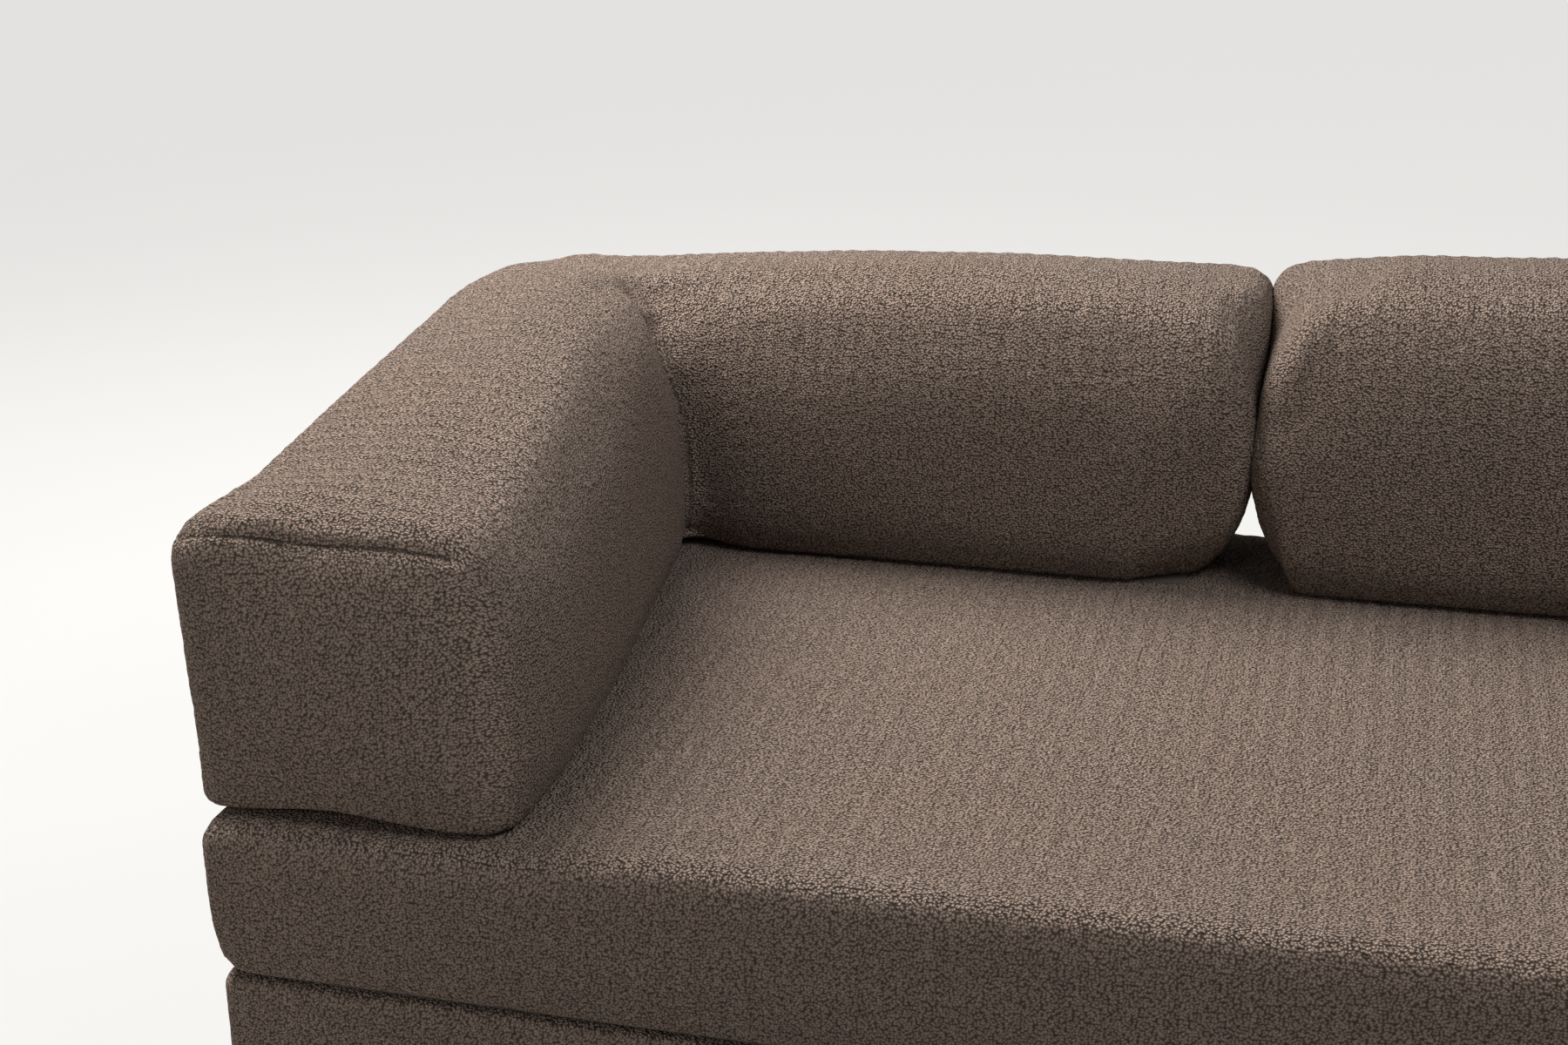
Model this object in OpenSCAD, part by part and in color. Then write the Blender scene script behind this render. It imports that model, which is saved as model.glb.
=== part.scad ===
// Corner sofa: a mattress-like seat slab on an upholstered timber box, an L-shaped
// corner bolster that is arm and back in one, and a straight back bolster beside it.
// Origin: on the floor, under the middle of the whole sofa. X runs to the right along
// the sofa, Y to the rear and Z up. Sizes are in millimetres.

/* [Seat] */
// Length of the seat slab, left to right
seat_len = 2200; // [1900:10:2600]
// Depth of the seat slab, front to rear
seat_depth = 1152; // [1080:2:1250]
// Thickness of the seat slab
seat_t = 170; // [140:5:200]
// Radius of the slab's top edge
seat_edge_r = 50; // [35:1:60]
// Radius of the slab's upright corners
seat_corner_r = 34; // [25:1:60]
// How far the slab's sides draw in at the bottom
seat_draw = 16; // [8:1:20]
// How quickly that draw dies away up the slab's sides
seat_draw_power = 5; // [2:0.5:6]
// How far the middle of the seat stands above its edges
seat_crown = 8; // [2:1:12]
// Distance from the bolsters' footprint to where that crown begins
crown_set = 15; // [5:1:40]
// Thickness of the soft foam on top of the firm foam
topper_t = 30; // [20:1:40]

/* [Base box] */
// Height of the base's top above the floor
base_top = 208; // [180:1:260]
// How far the base stands back from the slab's edges
base_inset = 12; // [6:1:30]
// Thickness of the upholstered border
border_t = 6; // [4:1:8]
// Width of the border where it is turned in over the pad
border_turn = 70; // [50:5:90]
// Radius of the border's top edge
border_edge_r = 16; // [10:1:24]
// Radius of the border's upright corners
border_corner_r = 26; // [20:1:40]
// Thickness of the timber rails
rail_t = 25; // [18:1:32]
// Thickness of the foam sheet over the webbing
base_pad_t = 28; // [15:1:35]
// Height of the cross rails
cross_rail_h = 100; // [60:5:120]
// Number of cross rails
cross_rail_count = 3; // [2:1:4]
// Side of the square timber blocks
block_w = 60; // [50:1:80]
// Height of the glides
glide_h = 22; // [15:1:35]
// Diameter of the glides
glide_d = 50; // [40:1:56]
// Chamfer round the foot of a glide
glide_foot = 3; // [1:0.5:5]

/* [Webbing] */
// Width of the straps that run from front to back
strap_w = 70; // [50:5:80]
// Number of straps that run from front to back
strap_count = 13; // [10:1:16]
// Width of the straps that run from end to end
stay_w = 50; // [40:5:70]
// Number of straps that run from end to end
stay_count = 4; // [3:1:5]
// Thickness of the straps
strap_t = 1.5; // [1:0.1:2.5]

/* [Corner bolster] */
// Width of the arm at its front end
arm_w = 348; // [300:2:380]
// How much narrower the arm is at the corner
arm_taper = 70; // [0:2:80]
// Width of the back leg at its widest
corner_back_w = 310; // [280:1:340]
// Length of the corner bolster along the back
corner_len = 970; // [850:2:1100]
// Height of the arm at its front end
arm_front_h = 309; // [260:1:330]
// Height of the arm where it is fullest
arm_high_h = 380; // [330:1:390]
// Where the arm is fullest, as a share of the way to the corner
arm_high_at = 0.65; // [0.4:0.05:0.8]
// Height of the corner bolster at its corner
corner_h = 346; // [320:1:380]
// Height of the corner bolster at its right end
leg_end_h = 363; // [330:1:390]
// Distance of the arm's front end behind the slab's front edge
arm_front_set = 28; // [10:1:60]
// How far the bolsters overhang the slab at the sides
side_over = 16; // [5:1:35]
// How far the bolsters overhang the slab at the rear
rear_over = 20; // [5:1:35]
// Radius of the tight bend inside the corner
inner_bend_r = 22; // [15:1:40]
// Radius of the outer bend of the corner
outer_bend_r = 52; // [50:1:110]
// Depth of the crease that runs into the inner corner
crease_d = 34; // [10:1:45]
// How far from the inner corner the crease dies away
crease_reach = 70; // [50:1:90]

/* [Back bolster] */
// Height of the back bolster
back_h = 388; // [330:2:400]
// Gap between the two bolsters where they are widest
bolster_gap = 1.2; // [0.6:0.2:12]

/* [Bolster form] */
// How far the middle of a bolster's top stands above its edges
bolster_crown = 12; // [6:1:24]
// Edge radius on the outer side of the bolsters
outer_edge_r = 40; // [36:1:70]
// Edge radius on the side that the sitter leans on
inner_edge_r = 110; // [80:1:130]
// How far the bolsters' sides draw in at the bottom
bolster_draw = 16; // [12:1:32]
// How quickly that draw dies away up the bolsters' sides
bolster_draw_power = 2; // [1.5:0.5:4]
// Radius of the bolsters' upright end corners
bolster_end_r = 48; // [36:1:70]

/* [Covers and filling] */
// Thickness of the boucle covers
cover_t = 4; // [3:0.5:6]
// Thickness of the fibre wadding
wadding_t = 14; // [8:1:20]
// Thickness of the plain linings and cloths
lining_t = 2; // [1:0.5:3]
// Distance from a cushion's end to its foam
fill_end_set = 45; // [40:1:60]
// How much smaller the foam is at that end
fill_tuck = 34; // [28:1:45]
// Clearance between a soft piece and what it lies on or in
soft_gap = 0.3; // [0.2:0.1:0.5]

/* [Grip strips] */
// Width of the hook and loop strips
grip_w = 40; // [25:5:60]
// Length of the hook and loop strips
grip_len = 260; // [150:10:350]
// Thickness of one strip
grip_t = 1.6; // [1:0.1:2.5]
// Number of strips along each long side
grip_count = 5; // [3:1:7]

/* [Zips] */
// Width of the zip tape
tape_w = 26; // [20:1:34]
// Thickness of the zip tape
tape_t = 0.8; // [0.6:0.1:1.2]
// Width of the closed zip chain
chain_w = 6; // [4:0.5:8]
// Thickness of the closed zip chain
chain_t = 2; // [1.5:0.1:3]
// Length of a zip's slider
slider_len = 13; // [10:0.5:18]
// Running clearance of the slider on the chain
slider_gap = 0.3; // [0.2:0.05:0.5]
// Wall thickness of the slider
slider_wall = 1.4; // [1:0.1:2]
// Width of a slider's pull tab
tab_w = 7; // [5:0.5:9]
// Length of a slider's pull tab
tab_len = 24; // [16:1:32]
// Distance from a zip's end to the end of its cushion
zip_end_set = 190; // [160:5:260]

/* [Screws] */
// Shank diameter of the frame screws
screw_d = 6; // [4:0.5:7]
// Length of the frame screws
screw_len = 62; // [50:1:75]
// Head diameter of the frame screws
screw_head_d = 12; // [9:0.5:14]
// Thickness of a screw head
screw_head_t = 4; // [2.5:0.5:5]
// Length of the glide screws
glide_screw_len = 45; // [30:1:60]
// How much wider a screw's hole is than the screw
screw_gap = 0.2; // [0.1:0.05:0.5]
// Height of the lower frame screws, as a share of the rails' height
screw_low = 0.3; // [0.2:0.05:0.4]
// Height of the upper frame screws, as a share of the rails' height
screw_high = 0.75; // [0.6:0.05:0.8]

/* [Hidden] */
$fn = 32;
// How far a cut runs past the face it opens
cut = 1;

boucle = "#8c7b6e";
foam_yellow = "#e8dcae";
foam_white = "#f2efe6";
fibre = "#f7f7f4";
lining_grey = "#5a5450";
timber = "#c9a876";
metal = "#9a9a96";
black = "#222222";

// The slab's corner that is furthest left and to the front, on the floor
origin_x = -seat_len / 2;
origin_y = -(seat_depth + rear_over) / 2;

// Heights in the base, from the floor up
rail_z = glide_h;
deck_z = base_top - border_t;
pad_z = deck_z - base_pad_t;
stay_z = pad_z - strap_t;
strap_z = stay_z - strap_t;
rail_h = strap_z - rail_z;

// The box of rails stands inside the border
rail_inset = base_inset + border_t;
rail_x0 = rail_inset;
rail_x1 = seat_len - rail_inset;
rail_y0 = rail_inset;
rail_y1 = seat_depth - rail_inset;
inner_depth = rail_y1 - rail_y0 - 2 * rail_t;

// The slab lies on the hook and loop strips, the bolsters on the slab
seat_z = base_top + 2 * grip_t + soft_gap;
seat_top = seat_z + seat_t;
bolster_z = seat_top + soft_gap;

// Ends and sides of the bolsters at their widest
arm_x0 = -side_over;
arm_x1 = arm_x0 + arm_w;
arm_y0 = arm_front_set;
rear_y = seat_depth + rear_over;
back_front_y = rear_y - corner_back_w;
corner_x1 = arm_x0 + corner_len;
back_x0 = corner_x1 + bolster_gap;
back_x1 = seat_len + side_over;
arm_half = arm_w / 2;
back_half = corner_back_w / 2;
seat_half = seat_depth / 2;

// A crown ends just short of the spine, where its two sides are sewn together
spine_reach = 0.94;
// The seat's crown begins behind the widest bolster's footprint
seat_flat = max(arm_w - side_over, corner_back_w - rear_over) + crown_set;

// A form's skin is drawn through rings of points: at shares of the side's height, at
// angles round the top edge, and at shares of the way from there to the spine
side_rings = [0, 0.12, 0.35, 0.65, 1];
wall_side_rings = [0, 0.35, 1];
edge_rings = [22.5, 45, 67.5, 90];
outer_rings = [side_rings, edge_rings, [0.35, 0.7, 1]];
inner_rings = [wall_side_rings, edge_rings, [1]];
seat_outer_rings = [side_rings, edge_rings, [0, 0.45, 1]];
seat_inner_rings = [wall_side_rings, edge_rings, [0, 1]];
seat_fill_rings = [wall_side_rings, edge_rings, []];

function mix(a, b, t) = a + (b - a) * t;
function smooth(t) = let (u = min(1, max(0, t))) u * u * (3 - 2 * u);
function reversed(list) = [for (i = [len(list) - 1:-1:0]) list[i]];
function joined(lists) = [for (list = lists) each list];
function spread(from, to, count) = [for (i = [0:count - 1]) mix(from, to, (i + 0.5) / count)];

// Puts what is drawn from the slab's corner at its place about the sofa's origin
module placed(z = 0) {
    translate([origin_x, origin_y, z]) children();
}

// One end of a cushion's outline: round the end whose spine stops at s, looking along d
function end_outline(s, d, half, r, steps = 4) =
    let (n = [-d.y, d.x])
    concat(
        [for (i = [0:steps]) let (a = 90 * i / steps)
            s + d * (half - r + r * sin(a)) - n * (half - r + r * cos(a))],
        [s + d * half],
        [for (i = [0:steps]) let (a = 90 * i / steps)
            s + d * (half - r + r * cos(a)) + n * (half - r + r * sin(a))]);

// A line that runs back towards x from taper beside it, bends by radius r and runs right
// along y
function bent_line(x, y, r, start_y, end_x, taper) =
    concat(
        [for (i = [0:leg_steps]) let (share = i / leg_steps)
            [x + taper * (1 - share), mix(start_y, y - r, share)]],
        [for (i = [1:bend_steps - 1]) let (a = 180 - 90 * i / bend_steps)
            [x + r + r * cos(a), y - r + r * sin(a)]],
        [for (i = [0:leg_steps]) [mix(x + r, end_x, i / leg_steps), y]]);

// A form is a list of the outline's points and, for each of them, its spine point, half
// width, edge height, top height and edge radius, followed by the last index of the front
// side, the number of points on one end, the draw at the bottom, how quickly that dies
// away, and the inset at which the crown may begin. The outline starts with the front
// side and goes on round the right end, back along the rear side and round the left end.
function outline(form) = form[0];
function spine(form) = form[1];
function half_width(form) = form[2];
function edge_height(form) = form[3];
function top_height(form) = form[4];
function edge_radius(form) = form[5];
function front_last(form) = form[6];
function end_count(form) = form[7];
function draw_at(form, share) = form[8] * pow(1 - share, form[9]);
function crown_inset(form) = form[10];
function ring_count(form) = len(outline(form));
// Index of the rear side's point that faces point i of the front side
function facing(form, i) = 2 * front_last(form) + end_count(form) + 1 - i;

function rect_form(x0, x1, y0, y1, edge_h, top_h, corner_r, front_r, rear_r, draw, power, crown_at, steps) =
    let (half = (y1 - y0) / 2,
         y_mid = (y0 + y1) / 2,
         run = spread_ends(x0 + half, x1 - half, steps),
         right_end = end_outline([x1 - half, y_mid], [1, 0], half, corner_r),
         left_end = end_outline([x0 + half, y_mid], [-1, 0], half, corner_r),
         points = concat([for (x = run) [x, y0]], right_end,
                         [for (x = reversed(run)) [x, y1]], left_end))
    [points,
     [for (p = points) [min(x1 - half, max(x0 + half, p.x)), y_mid]],
     [for (p = points) half],
     [for (p = points) edge_h],
     [for (p = points) top_h],
     [for (p = points) mix(front_r, rear_r, smooth((p.y - y0) / (y1 - y0)))],
     steps, len(right_end), draw, power, crown_at];
function spread_ends(from, to, steps) = [for (i = [0:steps]) mix(from, to, i / steps)];

// The L-shaped form: its front side is the inside of the L. Its heights are given along
// the spine, by how many times leg_steps a place lies beyond the front end.
leg_steps = 5;
bend_steps = 4;
corner_heights = [[0, arm_front_h], [arm_high_at, arm_high_h], [1, corner_h],
                  [1 + bend_steps / leg_steps, corner_h], [2 + bend_steps / leg_steps, leg_end_h]];
function end_radius(share) = mix(outer_edge_r, inner_edge_r, pow(smooth(share), 3));
function corner_form() =
    let (start_y = arm_y0 + arm_half,
         end_x = corner_x1 - back_half,
         inner_corner = [arm_x1 - arm_taper, back_front_y],
         inner = bent_line(inner_corner.x, inner_corner.y, inner_bend_r, start_y, end_x, arm_taper),
         outer = bent_line(arm_x0, rear_y, outer_bend_r, start_y, end_x, 0),
         middle = (inner + outer) / 2,
         last = len(inner) - 1,
         halves = [for (i = [0:last])
             i <= leg_steps ? (inner[i].x - outer[i].x) / 2 : back_half],
         heights = [for (i = [0:last]) lookup(i / leg_steps, corner_heights)],
         right_end = end_outline(middle[last], [1, 0], back_half, bolster_end_r),
         front_end = end_outline(middle[0], [0, -1], arm_half, bolster_end_r),
         points = concat(inner, right_end, reversed(outer), front_end),
         spines = concat(middle, [for (p = right_end) middle[last]], reversed(middle),
                         [for (p = front_end) middle[0]]),
         tops = concat(heights, [for (p = right_end) leg_end_h], reversed(heights),
                       [for (p = front_end) arm_front_h]))
    [points,
     spines,
     concat(halves, [for (p = right_end) back_half], reversed(halves),
            [for (p = front_end) arm_half]),
     [for (i = [0:len(points) - 1])
         tops[i] - bolster_crown - crease_d * exp(-pow(norm(points[i] - inner_corner) / crease_reach, 2))],
     tops,
     concat([for (p = inner) inner_edge_r],
            [for (p = right_end) end_radius((rear_y - p.y) / corner_back_w)],
            [for (p = outer) outer_edge_r],
            [for (p = front_end) end_radius((p.x - arm_x0) / arm_w)]),
     last, len(right_end), bolster_draw, bolster_draw_power, 0];

// Points of a form's skin over outline point i, from the bottom rim to the spine. The
// skin lies wall under the outside and its rim is lift above the form's bottom. A rise
// of 0 leaves out the crown, and tuck draws the skin in on all sides.
function skin(form, i, wall, rings, lift = 0, rise = 1, tuck = 0) =
    let (p = outline(form)[i],
         s = spine(form)[i],
         half = half_width(form)[i],
         r = edge_radius(form)[i],
         shoulder = edge_height(form)[i] - r,
         crown = rise * (top_height(form)[i] - edge_height(form)[i]),
         bend = r - wall,
         start = max(crown_inset(form), r),
         levels = concat(
             [for (v = rings[0]) [draw_at(form, v) + wall, mix(lift, shoulder - tuck, v)]],
             [for (a = rings[1]) [wall + bend * (1 - cos(a)), shoulder - tuck + bend * sin(a)]],
             [for (w = rings[2]) [mix(start, spine_reach * half, w),
                                  shoulder - tuck + bend + crown * sin(90 * w)]]))
    [for (level = levels)
        let (share = mix(level[0] / half, 1, tuck / half))
        concat(mix(p, s, share), [level[1]])];
function skins(form, wall, rings) = [for (i = [0:ring_count(form) - 1]) skin(form, i, wall, rings)];

// Faces between neighbouring columns of points, all the way round
function band_faces(columns, rows, first, inside) = [
    for (i = [0:columns - 1], j = [0:rows - 2])
        let (a = first + i * rows + j,
             b = first + (i + 1) % columns * rows + j)
        each inside ? [[a, b, b + 1], [a, b + 1, a + 1]] : [[a, a + 1, b + 1], [a, b + 1, b]]];

// Faces that close a form along its spine: a strip between the sides and a fan at each end
function top_faces(form, rows, first, inside) =
    let (last = front_last(form),
         ends = end_count(form),
         count = ring_count(form),
         rear = facing(form, 0),
         faces = concat(
             [for (i = [0:last - 1]) each [[i + 1, i, rear - i], [i + 1, rear - i, rear - i - 1]]],
             [for (k = [1:ends]) [last, last + k + 1, last + k]],
             [for (k = [1:ends]) [rear, (rear + k + 1) % count, rear + k]]))
    [for (face = faces)
        let (points = [for (i = face) first + i * rows + rows - 1])
        inside ? reversed(points) : points];

// Faces that join row a of one skin to row b of the other, all the way round
function rim_faces(columns, rows_a, a, rows_b, b) = [
    for (i = [0:columns - 1])
        let (next = (i + 1) % columns,
             a1 = a + i * rows_a,
             a2 = a + next * rows_a,
             b1 = b + i * rows_b,
             b2 = b + next * rows_b)
        each [[a1, a2, b2], [a1, b2, b1]]];

// A sewn cover: an outer and an inner skin, joined at the bottom rim
module cover_shell(form, rings, wall_rings) {
    count = ring_count(form);
    outer = skins(form, 0, rings);
    inner = skins(form, cover_t, wall_rings);
    rows = len(outer[0]);
    wall_rows = len(inner[0]);
    first = count * rows;
    polyhedron(
        points = joined(concat(outer, inner)),
        faces = concat(
            band_faces(count, rows, 0, false),
            band_faces(count, wall_rows, first, true),
            rim_faces(count, rows, 0, wall_rows, first),
            top_faces(form, rows, 0, false),
            top_faces(form, wall_rows, first, true)));
}

// A solid through sections, each a closed ring whose points pair up across the middle.
// From ring point hollow on, the faces are split along their other diagonal, so that the
// inside of a fold lies parallel to the core in it.
module loft(sections, hollow) {
    count = len(sections[0]);
    last = count * (len(sections) - 1);
    sides = [for (k = [0:len(sections) - 2], i = [0:count - 1])
        let (a = k * count + i,
             b = k * count + (i + 1) % count)
        each i < hollow ? [[a, b, b + count], [a, b + count, a + count]]
                        : [[a, b, a + count], [b, b + count, a + count]]];
    ends = [for (i = [0:count / 2 - 2])
        let (j = count - 1 - i)
        each [[i, j, j - 1], [i, j - 1, i + 1],
              [last + i, last + j - 1, last + j], [last + i, last + i + 1, last + j - 1]]];
    polyhedron(points = joined(sections), faces = concat(sides, ends));
}

// Section across a form from front point i to the rear point that faces it, wall under
// the outside. by moves it along the form, and tuck makes it smaller.
function section(form, i, wall, rings, by = [0, 0, 0], rise = 1, tuck = 0) =
    [for (p = concat(skin(form, i, wall, rings, lining_t, rise, tuck),
                     reversed(skin(form, facing(form, i), wall, rings, lining_t, rise, tuck))))
        p + by];

// Wadding is folded over a core and open at the bottom. Both taper towards a cushion's
// ends, where their crown is low. A place along a form is [front point, shift, rise, tuck].
end_rise = 0.3;
fold_out = cover_t + soft_gap;
fold_in = cover_t + wadding_t;
core_out = fold_in + soft_gap;
module wadding_fold(form, rings, places) {
    outside = [for (q = places) section(form, q[0], fold_out, rings, q[1], q[2], q[3])];
    inside = [for (q = places) section(form, q[0], fold_in, rings, q[1], q[2], q[3])];
    loft([for (i = [0:len(places) - 1]) concat(outside[i], reversed(inside[i]))], len(outside[0]));
}
module foam_core(form, rings, places) {
    core = [for (q = places) section(form, q[0], core_out, rings, q[1], q[2], q[3])];
    loft(core, len(core[0]));
}
function fill_places(form, half, rise) =
    let (last = front_last(form),
         run = half - fill_end_set)
    [[0, [-run, 0, 0], end_rise * rise, fill_tuck], [0, [0, 0, 0], rise, 0],
     [last, [0, 0, 0], rise, 0], [last, [run, 0, 0], end_rise * rise, fill_tuck]];

// Plain lining that closes a cover at the bottom, inside its rim
module lining_panel(form) {
    inset = draw_at(form, 0) + cover_t + soft_gap;
    linear_extrude(lining_t)
        polygon([for (i = [0:ring_count(form) - 1])
            mix(outline(form)[i], spine(form)[i], inset / half_width(form)[i])]);
}

seat_form = rect_form(0, seat_len, 0, seat_depth, seat_t, seat_t + seat_crown, seat_corner_r,
                      seat_edge_r, seat_edge_r, seat_draw, seat_draw_power, seat_flat, 4);
l_form = corner_form();
back_form = rect_form(back_x0, back_x1, back_front_y, rear_y, back_h - bolster_crown, back_h,
                      bolster_end_r, inner_edge_r, outer_edge_r, bolster_draw,
                      bolster_draw_power, 0, 6);
border_form = rect_form(base_inset, seat_len - base_inset, base_inset, seat_depth - base_inset,
                        base_top - rail_z, base_top - rail_z, border_corner_r,
                        border_edge_r, border_edge_r, 0, 1, 0, 1);
// Outline of the base at an inset from the border's outside
function base_outline(inset) = [for (i = [0:ring_count(border_form) - 1])
    mix(outline(border_form)[i], spine(border_form)[i], inset / half_width(border_form)[i])];

// Places of the six leg blocks, the cross rails and the frame screws
block_xs = [rail_x0 + rail_t, (rail_x0 + rail_x1 - block_w) / 2, rail_x1 - rail_t - block_w];
block_ys = [rail_y0 + rail_t, rail_y1 - rail_t - block_w];
screw_zs = [rail_z + screw_low * rail_h, rail_z + screw_high * rail_h];

// A screw along +Y from the origin with its head at the start, or the hole for it
module screw(length, grow) {
    rotate([-90, 0, 0]) {
        cylinder(d = screw_d + grow, h = length);
        cylinder(d = screw_head_d + grow, h = screw_head_t + grow / 2);
    }
}

// All frame screws, or their holes: through the long rails and the end rails
module all_frame_screws(grow = 0) {
    for (z = screw_zs) {
        for (x = block_xs) {
            translate([x + block_w / 2, rail_y0, z]) screw(screw_len, grow);
            translate([x + block_w / 2, rail_y1, z]) rotate([0, 0, 180]) screw(screw_len, grow);
        }
        // These cross above the others
        for (y = block_ys) {
            translate([rail_x0, y + block_w / 3, z + 2 * screw_d])
                rotate([0, 0, -90]) screw(screw_len, grow);
            translate([rail_x1, y + block_w / 3, z + 2 * screw_d])
                rotate([0, 0, 90]) screw(screw_len, grow);
        }
    }
}

module at_glides() {
    for (x = block_xs, y = block_ys)
        translate([x + block_w / 2, y + block_w / 2, 0]) children();
}

// A glide's screw stands on the ledge of its counterbore
module glide_screw(grow = 0) {
    translate([0, 0, glide_h / 3]) {
        cylinder(d = screw_d + grow, h = glide_screw_len);
        cylinder(d = screw_head_d + grow, h = screw_head_t);
    }
}

// A rail, cut to the border's rounded corners
module rail(x, y, length, width) {
    color(timber) placed(rail_z) difference() {
        intersection() {
            translate([x, y, 0]) cube([length, width, rail_h]);
            linear_extrude(rail_h) polygon(base_outline(border_t));
        }
        translate([0, 0, -rail_z]) all_frame_screws(screw_gap);
    }
}

module front_rail() { rail(rail_x0, rail_y0, rail_x1 - rail_x0, rail_t); }
module back_rail() { rail(rail_x0, rail_y1 - rail_t, rail_x1 - rail_x0, rail_t); }
module left_rail() { rail(rail_x0, rail_y0 + rail_t, rail_t, inner_depth); }
module right_rail() { rail(rail_x1 - rail_t, rail_y0 + rail_t, rail_t, inner_depth); }

// The cross rails stand low, so that the webbing can sag over them
module cross_rails() {
    middle = (rail_x0 + rail_x1) / 2;
    color(timber) placed(rail_z) for (i = [1:cross_rail_count]) {
        x = mix(rail_x0, rail_x1, i / (cross_rail_count + 1));
        // One that meets the middle blocks ends at them
        short = abs(x - middle) < (block_w + rail_t) / 2 ? block_w : 0;
        translate([x - rail_t / 2, rail_y0 + rail_t + short, 0])
            cube([rail_t, inner_depth - 2 * short, cross_rail_h]);
    }
}

module leg_blocks() {
    color(timber) placed() difference() {
        for (x = block_xs, y = block_ys)
            translate([x, y, rail_z]) cube([block_w, block_w, rail_h]);
        all_frame_screws(screw_gap);
        at_glides() glide_screw(screw_gap);
    }
}

module frame_screws() { color(metal) placed() all_frame_screws(); }

module webbing() {
    color(black) placed(strap_z) for (x = spread(rail_x0, rail_x1, strap_count))
        translate([x - strap_w / 2, rail_y0, 0]) cube([strap_w, rail_y1 - rail_y0, strap_t]);
}

module webbing_stays() {
    color(black) placed(stay_z) for (y = spread(rail_y0 + rail_t, rail_y1 - rail_t, stay_count))
        translate([rail_x0, y - stay_w / 2, 0]) cube([rail_x1 - rail_x0, stay_w, strap_t]);
}

module base_pad() {
    color(foam_yellow) placed(pad_z) linear_extrude(base_pad_t)
        polygon(base_outline(border_edge_r + soft_gap));
}

// The border wraps the rails, is turned in over the pad and is open in the middle
module base_border() {
    count = ring_count(border_form);
    turn = (border_turn - border_edge_r) / (spine_reach * half_width(border_form)[0] - border_edge_r);
    rings = [[0, 1], edge_rings, [turn]];
    outer = skins(border_form, 0, rings);
    rows = len(outer[0]);
    first = count * rows;
    color(boucle) placed(rail_z) polyhedron(
        points = joined(concat(outer, skins(border_form, border_t, rings))),
        faces = concat(
            band_faces(count, rows, 0, false),
            band_faces(count, rows, first, true),
            rim_faces(count, rows, 0, rows, first),
            rim_faces(count, rows, first + rows - 1, rows, rows - 1)));
}

module deck_cloth() {
    color(lining_grey) placed(deck_z) linear_extrude(lining_t)
        polygon(base_outline(border_turn + soft_gap));
}

module dust_cloth() {
    color(black) placed(rail_z - lining_t) difference() {
        linear_extrude(lining_t) polygon(base_outline(border_t));
        translate([0, 0, -cut]) at_glides()
            cylinder(d = glide_d + screw_gap, h = lining_t + 2 * cut);
    }
}

// Each glide is a puck with a chamfered foot and a counterbore for its screw
module glides() {
    color(black) placed() at_glides() difference() {
        rotate_extrude() polygon([[0, 0], [glide_d / 2 - glide_foot, 0], [glide_d / 2, glide_foot],
                                  [glide_d / 2, glide_h], [0, glide_h]]);
        glide_screw(screw_gap);
        translate([0, 0, -cut]) cylinder(d = screw_head_d + screw_gap, h = glide_h / 3 + cut);
    }
}

module glide_screws() { color(metal) placed() at_glides() glide_screw(); }

// Strips along the front and the rear, on the turned-in border and under the slab
module grip_strips() {
    for (x = spread(base_inset, seat_len - base_inset, grip_count),
         y = [base_inset + border_turn / 2, seat_depth - base_inset - border_turn / 2])
        translate([x - grip_len / 2, y - grip_w / 2, 0]) cube([grip_len, grip_w, grip_t]);
}
module deck_grips() { color(black) placed(base_top) grip_strips(); }
module seat_grips() { color(black) placed(seat_z - grip_t) grip_strips(); }

// The seat's core is one block of firm foam with a softer sheet on top, under wadding
seat_places = fill_places(seat_form, seat_half, 0);
split_z = seat_t - core_out - topper_t;
module seat_core() { foam_core(seat_form, seat_fill_rings, seat_places); }
module seat_foam() {
    color(foam_yellow) placed(seat_z) intersection() {
        seat_core();
        cube([seat_len, seat_depth, split_z]);
    }
}
module seat_topper() {
    color(foam_white) placed(seat_z) intersection() {
        seat_core();
        translate([0, 0, split_z]) cube([seat_len, seat_depth, topper_t + cut]);
    }
}
module seat_wadding() {
    color(fibre) placed(seat_z) wadding_fold(seat_form, seat_fill_rings, seat_places);
}
module seat_cover() {
    color(boucle) placed(seat_z) cover_shell(seat_form, seat_outer_rings, seat_inner_rings);
}
module seat_lining() { color(lining_grey) placed(seat_z) lining_panel(seat_form); }

// The corner bolster's two legs of foam meet at the mitre through the bend
mitre = leg_steps + bend_steps / 2;
arm_run = [0, fill_end_set - arm_half, 0];
leg_run = [back_half - fill_end_set, 0, 0];
still = [0, 0, 0];
side_places = concat([[0, arm_run, end_rise, fill_tuck]],
                     [for (i = [0:mitre]) [i, still, 1, 0]]);
leg_places = concat([for (i = [mitre:front_last(l_form)]) [i, still, 1, 0]],
                    [[front_last(l_form), leg_run, end_rise, fill_tuck]]);
module corner_side_foam() {
    color(foam_yellow) placed(bolster_z) foam_core(l_form, inner_rings, side_places);
}
module corner_back_foam() {
    color(foam_yellow) placed(bolster_z) foam_core(l_form, inner_rings, leg_places);
}
module corner_side_wadding() {
    color(fibre) placed(bolster_z) wadding_fold(l_form, inner_rings, side_places);
}
module corner_back_wadding() {
    color(fibre) placed(bolster_z) wadding_fold(l_form, inner_rings, leg_places);
}
module corner_cover() {
    color(boucle) placed(bolster_z) cover_shell(l_form, outer_rings, inner_rings);
}
module corner_lining() { color(lining_grey) placed(bolster_z) lining_panel(l_form); }

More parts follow.
